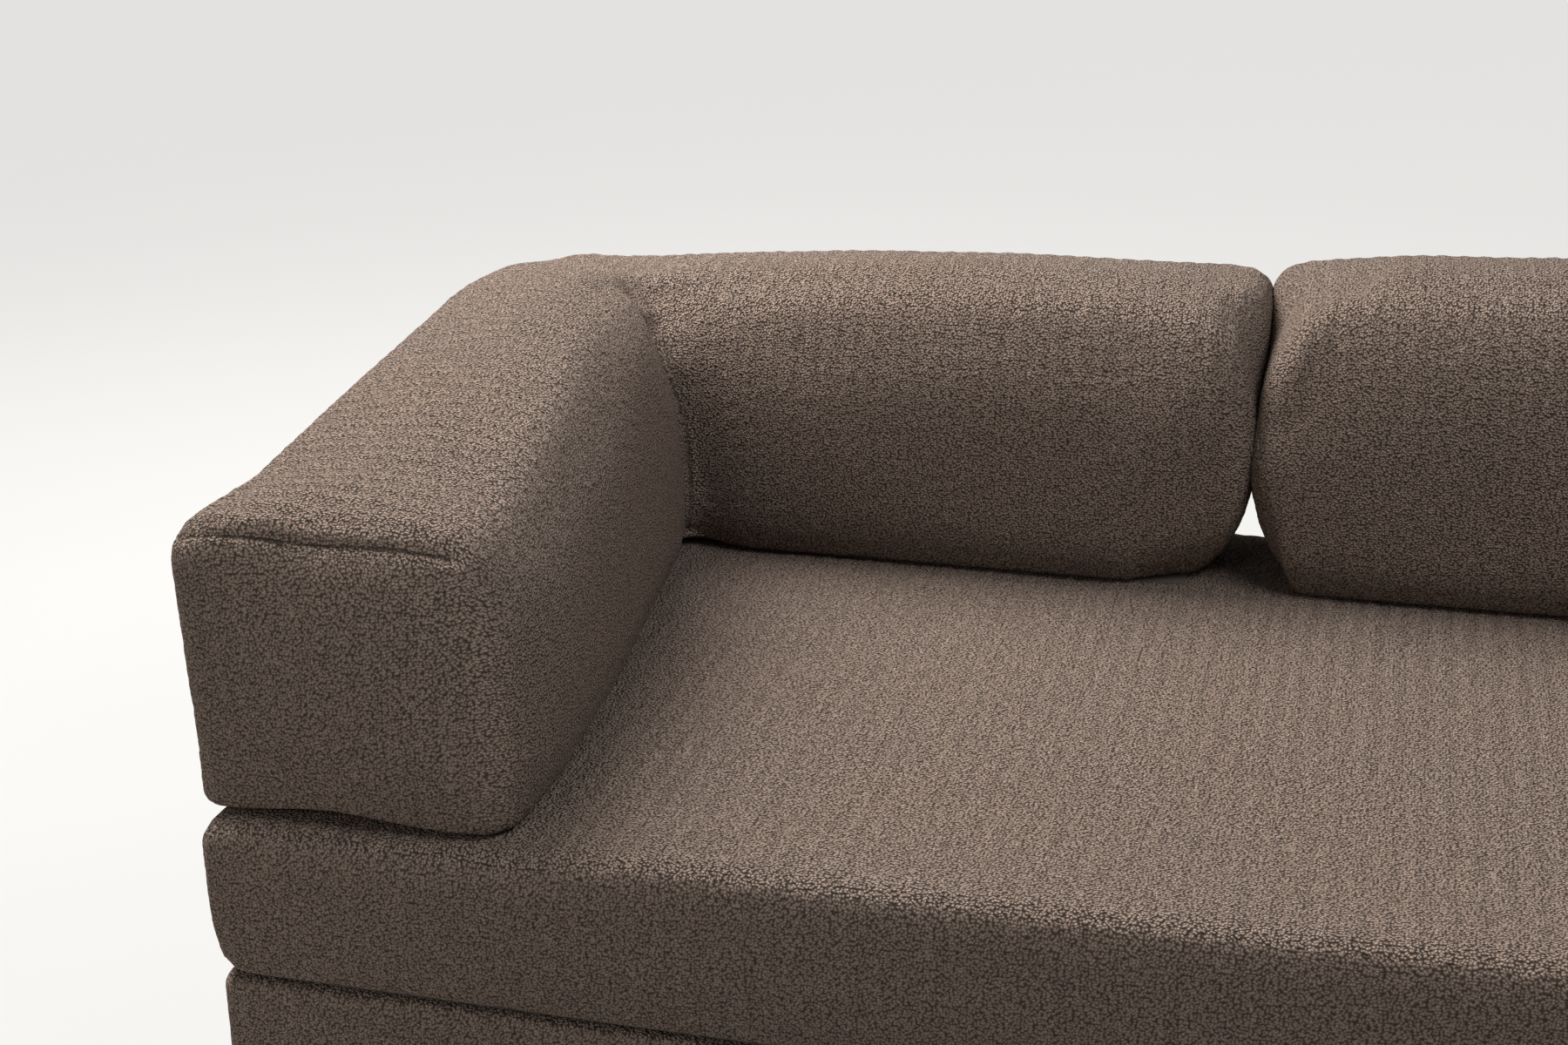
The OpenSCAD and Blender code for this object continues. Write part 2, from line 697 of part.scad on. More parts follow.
back_places = fill_places(back_form, back_half, 1);
module back_foam() {
    color(foam_yellow) placed(bolster_z) foam_core(back_form, inner_rings, back_places);
}
module back_wadding() {
    color(fibre) placed(bolster_z) wadding_fold(back_form, inner_rings, back_places);
}
module back_cover() {
    color(boucle) placed(bolster_z) cover_shell(back_form, outer_rings, inner_rings);
}
module back_lining() { color(lining_grey) placed(bolster_z) lining_panel(back_form); }

// Draws a zip piece low on the rear side of a cushion, between two rings of its cover,
// flat on the cover's slope: x along the zip, y out of the cover
module on_rear_side(form, x, y, z, shoulder) {
    low = side_rings[1];
    high = side_rings[2];
    inset_low = draw_at(form, low);
    inset_high = draw_at(form, high);
    lean = atan((inset_low - inset_high) / ((high - low) * shoulder));
    placed(z) translate([x, y - (inset_low + inset_high) / 2, (low + high) / 2 * shoulder])
        rotate([-lean, 0, 0]) translate([0, soft_gap, 0]) children();
}
module on_seat_rear() {
    on_rear_side(seat_form, zip_end_set, seat_depth, seat_z, seat_t - seat_edge_r) children();
}
module on_corner_rear() {
    on_rear_side(l_form, arm_x0 + zip_end_set, rear_y, bolster_z,
                 corner_h - bolster_crown - outer_edge_r) children();
}
module on_back_rear() {
    on_rear_side(back_form, back_x0 + zip_end_set, rear_y, bolster_z,
                 back_h - bolster_crown - outer_edge_r) children();
}

// A closed zip: its tape, its chain and a stop at each end
module zip_strip(length) {
    stop_w = chain_w + 2 * slider_wall;
    translate([0, 0, -tape_w / 2]) cube([length, tape_t, tape_w]);
    translate([0, tape_t, -chain_w / 2]) cube([length, chain_t, chain_w]);
    for (x = [0, length - slider_wall])
        translate([x, tape_t, -stop_w / 2]) cube([slider_wall, chain_t, stop_w]);
}

// A slider wraps the chain from outside and carries a pull tab
module zip_slider() {
    pocket_w = chain_w + 2 * slider_gap;
    body_w = pocket_w + 2 * slider_wall;
    body_t = chain_t + slider_wall;
    translate([slider_wall + slider_gap, tape_t + slider_gap, 0]) {
        difference() {
            translate([0, 0, -body_w / 2]) cube([slider_len, body_t, body_w]);
            translate([-cut, -cut, -pocket_w / 2])
                cube([slider_len + 2 * cut, chain_t + cut, pocket_w]);
        }
        translate([(slider_len - tab_w) / 2, body_t, body_w / 2 - tab_len])
            cube([tab_w, slider_wall, tab_len]);
    }
}

module seat_zip() { color(metal) on_seat_rear() zip_strip(seat_len - 2 * zip_end_set); }
module seat_zip_slider() { color(metal) on_seat_rear() zip_slider(); }
module corner_zip() { color(metal) on_corner_rear() zip_strip(corner_len - 2 * zip_end_set); }
module corner_zip_slider() { color(metal) on_corner_rear() zip_slider(); }
module back_zip() { color(metal) on_back_rear() zip_strip(back_x1 - back_x0 - 2 * zip_end_set); }
module back_zip_slider() { color(metal) on_back_rear() zip_slider(); }

front_rail();
back_rail();
left_rail();
right_rail();
cross_rails();
leg_blocks();
frame_screws();
webbing();
webbing_stays();
base_pad();
base_border();
deck_cloth();
dust_cloth();
glides();
glide_screws();
deck_grips();
seat_foam();
seat_topper();
seat_wadding();
seat_cover();
seat_lining();
seat_zip();
seat_zip_slider();
seat_grips();
corner_side_foam();
corner_back_foam();
corner_side_wadding();
corner_back_wadding();
corner_cover();
corner_lining();
corner_zip();
corner_zip_slider();
back_foam();
back_wadding();
back_cover();
back_lining();
back_zip();
back_zip_slider();
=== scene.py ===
import math

import bmesh
import bpy
import numpy as np
from mathutils import Matrix, Vector
from mathutils.bvhtree import BVHTree
from mathutils.geometry import delaunay_2d_cdt


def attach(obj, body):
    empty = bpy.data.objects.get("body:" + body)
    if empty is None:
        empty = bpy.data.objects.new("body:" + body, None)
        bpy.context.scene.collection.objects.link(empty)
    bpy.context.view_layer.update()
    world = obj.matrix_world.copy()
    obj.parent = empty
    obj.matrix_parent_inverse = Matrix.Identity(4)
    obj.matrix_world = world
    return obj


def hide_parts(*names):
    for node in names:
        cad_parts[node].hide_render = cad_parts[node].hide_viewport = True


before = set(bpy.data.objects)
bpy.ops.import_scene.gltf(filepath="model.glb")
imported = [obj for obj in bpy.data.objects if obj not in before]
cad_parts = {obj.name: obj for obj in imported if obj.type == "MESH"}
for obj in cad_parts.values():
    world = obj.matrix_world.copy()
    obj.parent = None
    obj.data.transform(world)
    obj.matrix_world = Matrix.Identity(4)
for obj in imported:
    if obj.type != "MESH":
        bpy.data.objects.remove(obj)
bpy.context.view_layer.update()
scene = bpy.context.scene


# The camera stands in front of the sofa's middle, well above the seat, and looks down to
# the left, at the corner. Its lens and turn were worked out from the picture's vanishing
# points, for a frame of 1800 by 1200 pixels.
lens_mm = 52.7
camera_place = (-0.0024, -2.3808, 1.3945)
camera_turn = (70.765, 0.433, 15.006)
camera_data = bpy.data.cameras.new("camera")
camera_data.lens = lens_mm
camera_data.sensor_width = 36.0
camera_data.clip_end = 200.0
camera = bpy.data.objects.new("camera", camera_data)
camera.location = camera_place
camera.rotation_euler = [math.radians(angle) for angle in camera_turn]
scene.collection.objects.link(camera)
scene.camera = camera
scene.view_settings.view_transform = "Standard"


# The studio: a pale floor that runs out of sight, a broad lamp above and behind the sofa,
# two weaker ones in front, high and low, and even light from the room. To the camera the
# floor and the room show nearly white, and the floor keeps the sofa's shadow.
class Term:
    """A number, colour or vector that a node gives. Sums on numbers add Math nodes."""

    def __init__(self, paint, node, socket):
        self.paint = paint
        self.node = node
        self.socket = socket

    def of(self, output):
        return Term(self.paint, self.node, self.node.outputs[output])

    def math(self, how, first, second=0.0, clamp=False):
        settings = {"operation": how, "use_clamp": clamp}
        return self.paint.node("ShaderNodeMath", settings, {0: first, 1: second})

    def __add__(self, other):
        return self.math("ADD", self, other)

    def __radd__(self, other):
        return self.math("ADD", other, self)

    def __sub__(self, other):
        return self.math("SUBTRACT", self, other)

    def __rsub__(self, other):
        return self.math("SUBTRACT", other, self)

    def __mul__(self, other):
        return self.math("MULTIPLY", self, other)

    def __rmul__(self, other):
        return self.math("MULTIPLY", other, self)

    def __truediv__(self, other):
        return self.math("DIVIDE", self, other)

    def held(self):
        return self.math("ADD", self, 0.0, clamp=True)

    def wave(self):
        return self.math("SINE", self)

    def above(self, limit):
        return self.math("GREATER_THAN", self, limit)


class Paint:
    """The node tree of one material, or of the world."""

    def __init__(self, name, kind="materials"):
        self.material = getattr(bpy.data, kind).new(name)
        self.material.use_nodes = True
        self.tree = self.material.node_tree
        self.tree.nodes.clear()

    def node(self, kind, settings=None, inputs=None, output=0):
        made = self.tree.nodes.new(kind)
        for key, value in (settings or {}).items():
            if key == "stops":
                while len(made.color_ramp.elements) < len(value):
                    made.color_ramp.elements.new(0.5)
                for element, (place, colour) in zip(made.color_ramp.elements, value):
                    element.position = place
                    element.color = colour
            else:
                setattr(made, key, value)
        for key, value in (inputs or {}).items():
            socket = made.inputs[key] if isinstance(key, int) else next(
                s for s in made.inputs if key in (s.identifier, s.name) and s.enabled)
            if isinstance(value, Term):
                self.tree.links.new(value.socket, socket)
            else:
                socket.default_value = value
        return Term(self, made, made.outputs[output])

    def coords(self):
        return self.node("ShaderNodeTexCoord").of("Object")

    def attribute(self, name):
        return self.node("ShaderNodeAttribute", {"attribute_name": name}).of("Fac")

    def noise(self, vector, scale, detail=2.0, roughness=0.5, distortion=0.0):
        inputs = {"Vector": vector, "Scale": scale, "Detail": detail,
                  "Roughness": roughness, "Distortion": distortion}
        return self.node("ShaderNodeTexNoise", {}, inputs)

    def blend_colour(self, factor, first, second, how="MIX"):
        settings = {"data_type": "RGBA", "blend_type": how}
        inputs = {"Factor": factor, "A_Color": first, "B_Color": second}
        return self.node("ShaderNodeMix", settings, inputs, output=2)

    def bump(self, height, distance, strength=1.0):
        inputs = {"Height": height, "Distance": distance, "Strength": strength}
        return self.node("ShaderNodeBump", {}, inputs)

    def surface(self, values):
        return self.out(self.node("ShaderNodeBsdfPrincipled", {}, values))

    def out(self, shader, end="ShaderNodeOutputMaterial"):
        last = self.tree.nodes.new(end)
        self.tree.links.new(shader.socket, last.inputs["Surface"])
        return self.material


def to_linear(red, green, blue):
    """A colour given as 0 to 255 on screen, as the shader wants it."""
    shares = [channel / 255 for channel in (red, green, blue)]
    return [share / 12.92 if share <= 0.04045 else ((share + 0.055) / 1.055) ** 2.4
            for share in shares] + [1.0]


pale = to_linear(234, 233, 231)
glow_strength = 1.2
glow_share = 0.76
floor_paint = Paint("studio_floor")
floor_clouds = floor_paint.noise(floor_paint.coords(), 1.5, 1.0)
floor_colour = floor_paint.blend_colour(floor_clouds, to_linear(176, 175, 173), to_linear(184, 183, 181))
floor_diffuse = floor_paint.node("ShaderNodeBsdfDiffuse", {}, {"Color": floor_colour})
floor_glow = floor_paint.node("ShaderNodeEmission", {}, {"Color": pale, "Strength": glow_strength})
seen = floor_paint.node("ShaderNodeLightPath").of("Is Camera Ray")
floor_paint.out(floor_paint.node("ShaderNodeMixShader", {},
                                 {0: seen * glow_share, 1: floor_diffuse, 2: floor_glow}))

floor_reach = 40.0
floor_mesh = bpy.data.meshes.new("studio_floor")
floor_mesh.from_pydata([(-floor_reach, -floor_reach, 0), (floor_reach, -floor_reach, 0),
                        (floor_reach, floor_reach, 0), (-floor_reach, floor_reach, 0)],
                       [], [(0, 1, 2, 3)])
floor = bpy.data.objects.new("studio_floor", floor_mesh)
floor_mesh.materials.append(floor_paint.material)
scene.collection.objects.link(floor)

room_strength = 0.17
room_seen_strength = 0.925
room_paint = Paint("studio", "worlds")
room_light = room_paint.node("ShaderNodeBackground", {},
                             {"Color": (1.0, 0.985, 0.965, 1.0), "Strength": room_strength})
room_seen = room_paint.node("ShaderNodeBackground", {}, {"Color": pale, "Strength": room_seen_strength})
ray = room_paint.node("ShaderNodeLightPath")
shows = ray.math("MAXIMUM", ray.of("Is Camera Ray"), ray.of("Is Glossy Ray"))
room_mix = room_paint.node("ShaderNodeMixShader", {}, {0: shows, 1: room_light, 2: room_seen})
scene.world = room_paint.out(room_mix, "ShaderNodeOutputWorld")

for lamp_name, place, aim, width, depth, power, tint in (
        ("lamp_above", (-2.1, 1.15, 2.85), (-0.5, 0.0, 0.3), 2.4, 1.8, 204.0, (1.0, 0.98, 0.955)),
        ("lamp_front", (1.2, -1.0, 3.0), (-0.6, 0.0, 0.4), 1.4, 1.0, 46.0, (0.95, 0.98, 1.0)),
        ("lamp_low", (-1.5, -2.6, 1.5), (-0.95, -0.55, 0.5), 0.9, 0.7, 9.0, (1.0, 0.99, 0.97))):
    lamp_data = bpy.data.lights.new(lamp_name, "AREA")
    lamp_data.shape = "RECTANGLE"
    lamp_data.size = width
    lamp_data.size_y = depth
    lamp_data.energy = power
    lamp_data.color = tint
    lamp = bpy.data.objects.new(lamp_name, lamp_data)
    lamp.location = place
    lamp.rotation_euler = (Vector(aim) - Vector(place)).to_track_quat("-Z", "Y").to_euler()
    scene.collection.objects.link(lamp)


# The boucle of all covers: a looped, wool-like yarn in taupe, woven so that it shows soft
# ribs 26 mm apart. Loops of about 3 mm stand up between gaps; their tops carry a painted
# highlight and the gaps a painted shadow, strongest where the cover lies flat, and seams and
# the crease get painted shade. The ribs follow x, or y on panels that face sideways, and each
# piece carries where its seams are.
rib_pitch = 0.026
rib_sway = 0.008
loop_size = 0.0028
loop_height = 0.0028
loop_bend = 0.002
seam_reach = 0.003


def boucle_paint(name, light, deep):
    paint = Paint(name)
    place = paint.coords()
    turned = paint.attribute("turned")
    split = paint.node("ShaderNodeSeparateXYZ", {}, {0: place})
    # Loops are laid out flat on the plane that a place faces most
    lying = paint.attribute("lying").above(0.0)
    sideways = paint.attribute("sideways").above(0.0) * (1 - lying)
    first = split.of("X") * (1 - sideways) + split.of("Y") * sideways
    second = split.of("Y") * lying + split.of("Z") * (1 - lying)
    bend = paint.node("ShaderNodeSeparateColor", {}, {0: paint.noise(place, 140.0, 1.0).of("Color")})
    laid = paint.node("ShaderNodeCombineXYZ", {}, {0: first * 0.9 + bend.of("Red") * loop_bend,
                                                   1: second + bend.of("Green") * loop_bend})
    loops = paint.node("ShaderNodeTexVoronoi", {"feature": "F1", "voronoi_dimensions": "2D"},
                       {"Vector": laid, "Scale": 1 / loop_size, "Randomness": 0.85})
    shade = paint.node("ShaderNodeSeparateColor", {}, {0: loops.of("Color")})
    fibres = paint.noise(place, 900.0, 2.0, 0.6)
    curls = paint.noise(place, 330.0, 1.0, 0.5, 0.4)
    patches = paint.noise(place, 4.5, 3.0, 0.55)
    sway = paint.noise(place, 9.0, 1.0)
    ribbing = (paint.noise(place, 1.7, 0.0) * 1.5 - 0.05) * (lying * 0.7 + 0.3)
    along = split.of("X") * (1 - turned) + split.of("Y") * turned
    rib = ((along + (sway - 0.5) * rib_sway) * (2 * math.pi / rib_pitch)).wave() * ribbing.held()
    # Seams and the crease sink the cover and are painted darker along them: painted shade.
    seam_groove_and_shade = 1 - (paint.attribute("seam") / seam_reach).held()
    dome = 1 - loops.of("Distance") * 2.1
    height = (dome + (curls - 0.5) * 1.0 + (fibres - 0.5) * 0.2 + rib * 0.15
              + (shade.of("Green") - 0.5) * 0.5 - seam_groove_and_shade * 1.2)
    # The loops' domes go into the colour too: each loop's top is painted lighter and its edges darker, a
    # painted highlight and shade mixed with the fibres' own grain and tone.
    loop_light_and_grain = ((dome - 0.15) * 0.5 + (curls - 0.5) * 0.6 + (fibres - 0.5) * 0.3
             + (shade.of("Green") - 0.5) * 0.2)
    # Where the cover lies flat this painted light and shade on the loops is twice as strong.
    lit = (0.45 + loop_light_and_grain * (1.1 + lying * 1.1) + rib * 0.08 + (patches - 0.5) * 0.12
           - seam_groove_and_shade * 0.9)
    # The ramp's ends are a painted shadow in the gaps between loops and a painted highlight on the loops'
    # tips.
    painted_gap_shadow = [channel * 0.45 for channel in deep[:3]] + [1]
    painted_loop_highlight = [min(1.0, channel * 1.45) for channel in light[:3]] + [1]
    ramp = paint.node("ShaderNodeValToRGB", {"stops": [(0.0, painted_gap_shadow), (0.28, deep), (0.60, light),
                                                       (1.0, painted_loop_highlight)]}, {0: lit.held()})
    hue = paint.blend_colour((patches * 0.5).held(), ramp, to_linear(150, 132, 118), "SOFT_LIGHT")
    return paint.surface({"Base Color": hue, "Roughness": 0.95, "Specular IOR Level": 0.12,
                          "Normal": paint.bump(height, loop_height), "Sheen Weight": 0.25,
                          "Sheen Roughness": 0.55, "Sheen Tint": to_linear(190, 174, 162)})


boucle = boucle_paint("taupe_boucle", to_linear(162, 144, 132), to_linear(103, 89, 80))


# The seat slab: a mattress-like cushion 2.2 m long, 1.15 m deep and 170 mm thick, foam
# under fibre wadding in one boucle cover. The top runs over rounded edges into the sides
# without piping. It lies on the base by grip strips and lifts off.
slab_left = -1.1
slab_right = 1.1
slab_front = -0.586
slab_back = 0.566
slab_low = 0.2115
slab_high = 0.3815
slab_edge_height = 0.17
slab_top_height = 0.172
slab_corner = 0.030
slab_front_round = 0.030
slab_rear_round = 0.044
slab_end_round = 0.028
slab_draw = 0.014
slab_crown_from = 0.345
slab_voxel = 0.0115
rim_hang = 0.005
lining_room = 0.0016
foot_held = 0.012
rib_height = 0.0005
lump_height = 0.0009
# Seams and folds pull the cover in: twice, each time so deep and so far to either side
seam_pulls = ((0.0028, 0.005), (0.0022, 0.018))
fold_pulls = ((0.010, 0.011), (0.012, 0.040))
seam_room = 0.05
fold_room = 0.12


def mixed(first, second, share):
    return first + (second - first) * share


def smooth(share):
    share = np.clip(share, 0, 1)
    return share * share * (3 - 2 * share)


def end_points(centre, along, half, radius, step):
    """Round one squared end of a cushion's outline, from its right side to its left."""
    steps = 6
    centre = np.array(centre)
    along = np.array(along)
    across = np.array([-along[1], along[0]])
    points = []
    for k in range(steps + 1):
        angle = math.pi / 2 * k / steps
        points.append(centre + along * (half - radius + radius * math.sin(angle))
                      - across * (half - radius + radius * math.cos(angle)))
    flat_steps = max(2, round(2 * (half - radius) / step))
    start = points[-1]
    finish = centre + along * half + across * (half - radius)
    for k in range(1, flat_steps):
        points.append(mixed(start, finish, k / flat_steps))
    for k in range(steps + 1):
        angle = math.pi / 2 * k / steps
        points.append(centre + along * (half - radius + radius * math.cos(angle))
                      + across * (half - radius + radius * math.sin(angle)))
    return points


def ring_faces(count, rows, closed):
    """The faces between the columns of a ring, each column a row of that many points."""
    faces = []
    for i in range(count):
        here = i * rows
        there = (i + 1) % count * rows
        for j in range(rows if closed else rows - 1):
            above = (j + 1) % rows
            faces.append((here + j, there + j, there + above, here + above))
    return faces


def skin_mesh(form, draw_power, crown_from, low, inset):
    """A closed cushion form: its sides rise from a flat foot, turn over a rounded edge and
    meet along the spine. The form's lists have one entry for each point of the outline:
    its place, the spine's place, half width, edge and top height, edge radius and draw."""
    belly_power = 2.3
    columns = []
    for place, spine, half, edge, top, radius, draw in zip(*form):
        shoulder = edge - radius
        # A deep draw reaches higher up the side
        deep = float(smooth((draw - 0.02) / 0.03))
        power = mixed(draw_power, 5, deep)
        side = [(draw * (1 - share) ** power, shoulder * share) for share in np.linspace(0, 1, 12)]
        side += [(radius * (1 - math.cos(angle)), shoulder + radius * math.sin(angle))
                 for angle in np.linspace(0, math.pi / 2, 10)[1:]]
        # A side with a wide round curves over nearly all of its height
        full = float(smooth((radius - 0.045) / 0.035))
        belly = mixed(0.2, 0.43, deep) * edge
        levels = [(mixed(half, draw, share), 0.0) for share in (0.0, 0.35, 0.7)]
        for depth, height in side:
            bent = max(0.0, 1 - max(0.0, (height - belly) / (edge - belly)) ** belly_power)
            curved = (draw * max(0.0, 1 - height / belly) ** 2
                      + 1.15 * radius * (1 - bent ** (1 / belly_power)))
            levels.append((mixed(depth, curved, full), height))
        for share in np.linspace(0, 1, 9)[0 if crown_from else 1:]:
            crown = math.sin(min(share / 0.94, 1) * math.pi / 2)
            levels.append((mixed(max(crown_from, radius), half, share), edge + (top - edge) * crown))
        columns.append([(*mixed(place, spine, mixed(depth / half, 1, inset / half)),
                         low + inset * 0.5 + height * (1 - 1.5 * inset / top))
                        for depth, height in levels])
    verts = [point for column in columns for point in column]
    return verts, ring_faces(len(columns), len(columns[0]), False)


def closed_object(name, verts, faces):
    """A new object whose mesh has no double points and all faces outwards."""
    mesh = bpy.data.meshes.new(name)
    mesh.from_pydata([tuple(float(part) for part in point) for point in verts], [], faces)
    shape = bmesh.new()
    shape.from_mesh(mesh)
    bmesh.ops.remove_doubles(shape, verts=shape.verts, dist=1e-5)
    bmesh.ops.dissolve_degenerate(shape, edges=shape.edges, dist=1e-6)
    bmesh.ops.recalc_face_normals(shape, faces=shape.faces)
    shape.to_mesh(mesh)
    shape.free()
    obj = bpy.data.objects.new(name, mesh)
    scene.collection.objects.link(obj)
    return obj


def taken(obj):
    """The object's mesh with its modifiers applied, which are then removed."""
    bpy.context.view_layer.update()
    graph = bpy.context.evaluated_depsgraph_get()
    mesh = bpy.data.meshes.new_from_object(obj.evaluated_get(graph))
    obj.modifiers.clear()
    old = obj.data
    obj.data = mesh
    bpy.data.meshes.remove(old)
    return obj


def remeshed(obj, voxel):
    """The object with its surface made of even squares of that size."""
    change = obj.modifiers.new("remesh", "REMESH")
    change.mode = "VOXEL"
    change.voxel_size = voxel
    change.use_smooth_shade = True
    return taken(obj)


def points_of(obj):
    values = np.zeros(len(obj.data.vertices) * 3, np.float64)
    obj.data.vertices.foreach_get("co", values)
    return values.reshape(-1, 3)


def normals_of(obj):
    values = np.zeros(len(obj.data.vertices) * 3, np.float32)
    obj.data.vertex_normals.foreach_get("vector", values)
    return values.reshape(-1, 3).astype(np.float64)


def put_points(obj, points):
    obj.data.vertices.foreach_set("co", np.ascontiguousarray(points, np.float32).ravel())
    obj.data.update()


def give_attribute(obj, name, values):
    made = obj.data.attributes.new(name, "FLOAT", "POINT")
    made.data.foreach_set("value", np.ascontiguousarray(values, np.float32))


def swelled(obj, pressure, cap, held, slack):
    """Blows the cover up like a filled cushion. cap says how far each point may move, held
    which points stay where they are, and slack how much larger the cloth is than the form."""
    frames = 20
    smoothings = 24
    sink = 0.0006
    before = points_of(obj)
    outward = normals_of(obj)
    obj.vertex_groups.new(name="held").add(np.nonzero(held)[0].tolist(), 1.0, "REPLACE")
    cloth = obj.modifiers.new("cloth", "CLOTH")
    settings = cloth.settings
    settings.quality = 4
    settings.mass = 0.35
    settings.tension_stiffness = 12
    settings.compression_stiffness = 12
    settings.shear_stiffness = 4
    settings.bending_stiffness = 0.6
    settings.use_pressure = True
    settings.uniform_pressure_force = pressure
    settings.shrink_min = -slack
    settings.vertex_group_mass = "held"
    settings.effector_weights.gravity = 0.0
    cloth.collision_settings.use_self_collision = False
    cloth.point_cache.frame_start = 1
    cloth.point_cache.frame_end = frames
    for frame_number in range(1, frames + 1):
        scene.frame_set(frame_number)
    taken(obj)
    scene.frame_set(1)
    obj.vertex_groups.clear()
    move = points_of(obj) - before
    # Stretched cloth pulls corners in; a filled cushion holds them out
    sunk = np.minimum(0, (move * outward).sum(axis=1) + sink)
    move -= outward * sunk[:, None]
    length = np.linalg.norm(move, axis=1)
    move *= np.minimum(1, cap / np.maximum(length, 1e-9))[:, None]
    ends = np.zeros(len(obj.data.edges) * 2, np.int32)
    obj.data.edges.foreach_get("vertices", ends)
    first, second = ends.reshape(-1, 2).T
    near = np.bincount(ends, minlength=len(before))
    for _ in range(smoothings):
        for axis in range(3):
            part = move[:, axis]
            beside = (np.bincount(first, part[second], len(before))
                      + np.bincount(second, part[first], len(before)))
            move[:, axis] = (part + beside / near) / 2
    put_points(obj, before + move)


def refined(obj):
    """The object with each face made four, and rounder."""
    change = obj.modifiers.new("finer", "SUBSURF")
    change.levels = 1
    change.render_levels = 1
    return taken(obj)


def spread_noise(points, size, seed):
    """Soft noise from -1 to 1 with lumps of about that size, the same on every run. Large
    odd factors stir each cell's three numbers into one place of a table of random draws."""
    draws = 4096
    stir_x = 73856093
    stir_y = 19349663
    stir_z = 83492791
    table = np.random.default_rng(seed).uniform(-1, 1, draws)
    cell = points / size
    low = np.floor(cell).astype(np.int64)
    part = cell - low
    part = part * part * (3 - 2 * part)
    total = np.zeros(len(points))
    for dx in (0, 1):
        for dy in (0, 1):
            for dz in (0, 1):
                key = ((low[:, 0] + dx) * stir_x ^ (low[:, 1] + dy) * stir_y
                       ^ (low[:, 2] + dz) * stir_z) & (draws - 1)
                weight = (np.where(dx, part[:, 0], 1 - part[:, 0])
                          * np.where(dy, part[:, 1], 1 - part[:, 1])
                          * np.where(dz, part[:, 2], 1 - part[:, 2]))
                total += table[key] * weight
    return total


def distance_to_line(points, line, reach):
    """Each point's distance to a line through the given places, no more than reach."""
    found = np.full(len(points), reach)
    for a, b in zip(line[:-1], line[1:]):
        low = np.minimum(a, b) - reach
        high = np.maximum(a, b) + reach
        near = np.nonzero(np.all((points > low) & (points < high), axis=1))[0]
        if len(near):
            way = b - a
            share = np.clip((points[near] - a) @ way / max(way @ way, 1e-12), 0, 1)
            gap = np.linalg.norm(points[near] - (a + share[:, None] * way), axis=1)
            found[near] = np.minimum(found[near], gap)
    return found


def gaps_to(obj, points, lines, reach):
    """Each point's distance to the nearest of the lines, laid on the object's surface."""
    found = np.full(len(points), reach)
    for line in lines:
        tree = BVHTree.FromObject(obj, bpy.context.evaluated_depsgraph_get())
        laid = [np.array(tree.find_nearest(Vector(place))[0]) for place in line]
        found = np.minimum(found, distance_to_line(points, laid, reach))
    return found


def pulled(gaps, pulls):
    """How far seams or folds pull each point in, given its distance from them."""
    return -sum(depth * np.exp(-(gaps / reach) ** 2) for depth, reach in pulls)


def eased(points, places):
    """How far each point is moved along its normal by soft dents and bulges, each given as
    its place, its depth (below 0 for a bulge) and how far it reaches."""
    moved = np.zeros(len(points))
    for place, depth, reach in places:
        gap = np.linalg.norm(points - np.array(place), axis=1)
        moved -= depth * np.exp(-(gap / reach) ** 2)
    return moved


def covered(obj, turned, seam, seed):
    """Puts the boucle on, and keeps for it which way its ribs run, how near the seams are
    and which way each place faces: up or down, or to the sides."""
    give_attribute(obj, "turned", turned)
    give_attribute(obj, "seam", seam)
    facing = np.abs(normals_of(obj))
    level = facing[:, 2] - np.maximum(facing[:, 0], facing[:, 1])
    # How flat a place lies also sets how strongly the boucle paints light and shade on its loops.
    give_attribute(obj, "lying", level + 0.08 * spread_noise(points_of(obj), 0.02, seed))
    give_attribute(obj, "sideways", facing[:, 0] - facing[:, 1])
    obj.data.materials.clear()
    obj.data.materials.append(boucle)
    obj.data.polygons.foreach_set("use_smooth", np.ones(len(obj.data.polygons), bool))


def dressed(obj, turned, foot, seed, seams=(), dents=(), folds=(), waves=0.0012):
    """Sews and covers a swelled form: seams and folds pull in, dents sink, and ribs, loops
    and waves stand out, least where the cushion lies on its foot."""
    points = points_of(obj)
    normals = normals_of(obj)
    seam = gaps_to(obj, points, seams, seam_room)
    fold = gaps_to(obj, points, folds, fold_room)
    pull = pulled(seam, seam_pulls) + pulled(fold, fold_pulls)
    ways = np.where(turned > 0.5, points[:, 1], points[:, 0])
    rise = rib_height * np.sin(ways * 2 * math.pi / rib_pitch) * smooth(normals[:, 2] * 1.6)
    lumps = lump_height * (0.8 * spread_noise(points, loop_size * 1.3, seed)
                           + 0.5 * spread_noise(points, loop_size * 3, seed + 1))
    lumps += waves * spread_noise(points, 0.13, seed + 2)
    free = smooth((points[:, 2] - foot) / 0.012)
    moved = eased(points, dents) + pull + (rise + lumps) * (0.25 + 0.75 * free)
    points = points + normals * moved[:, None]
    points[:, 2] = np.maximum(points[:, 2], foot)
    put_points(obj, points)
    # The nearness of seams and of the crease goes to the boucle, which paints shade along them.
    covered(obj, turned, np.minimum(seam, fold * 0.7 + 0.001), seed + 3)


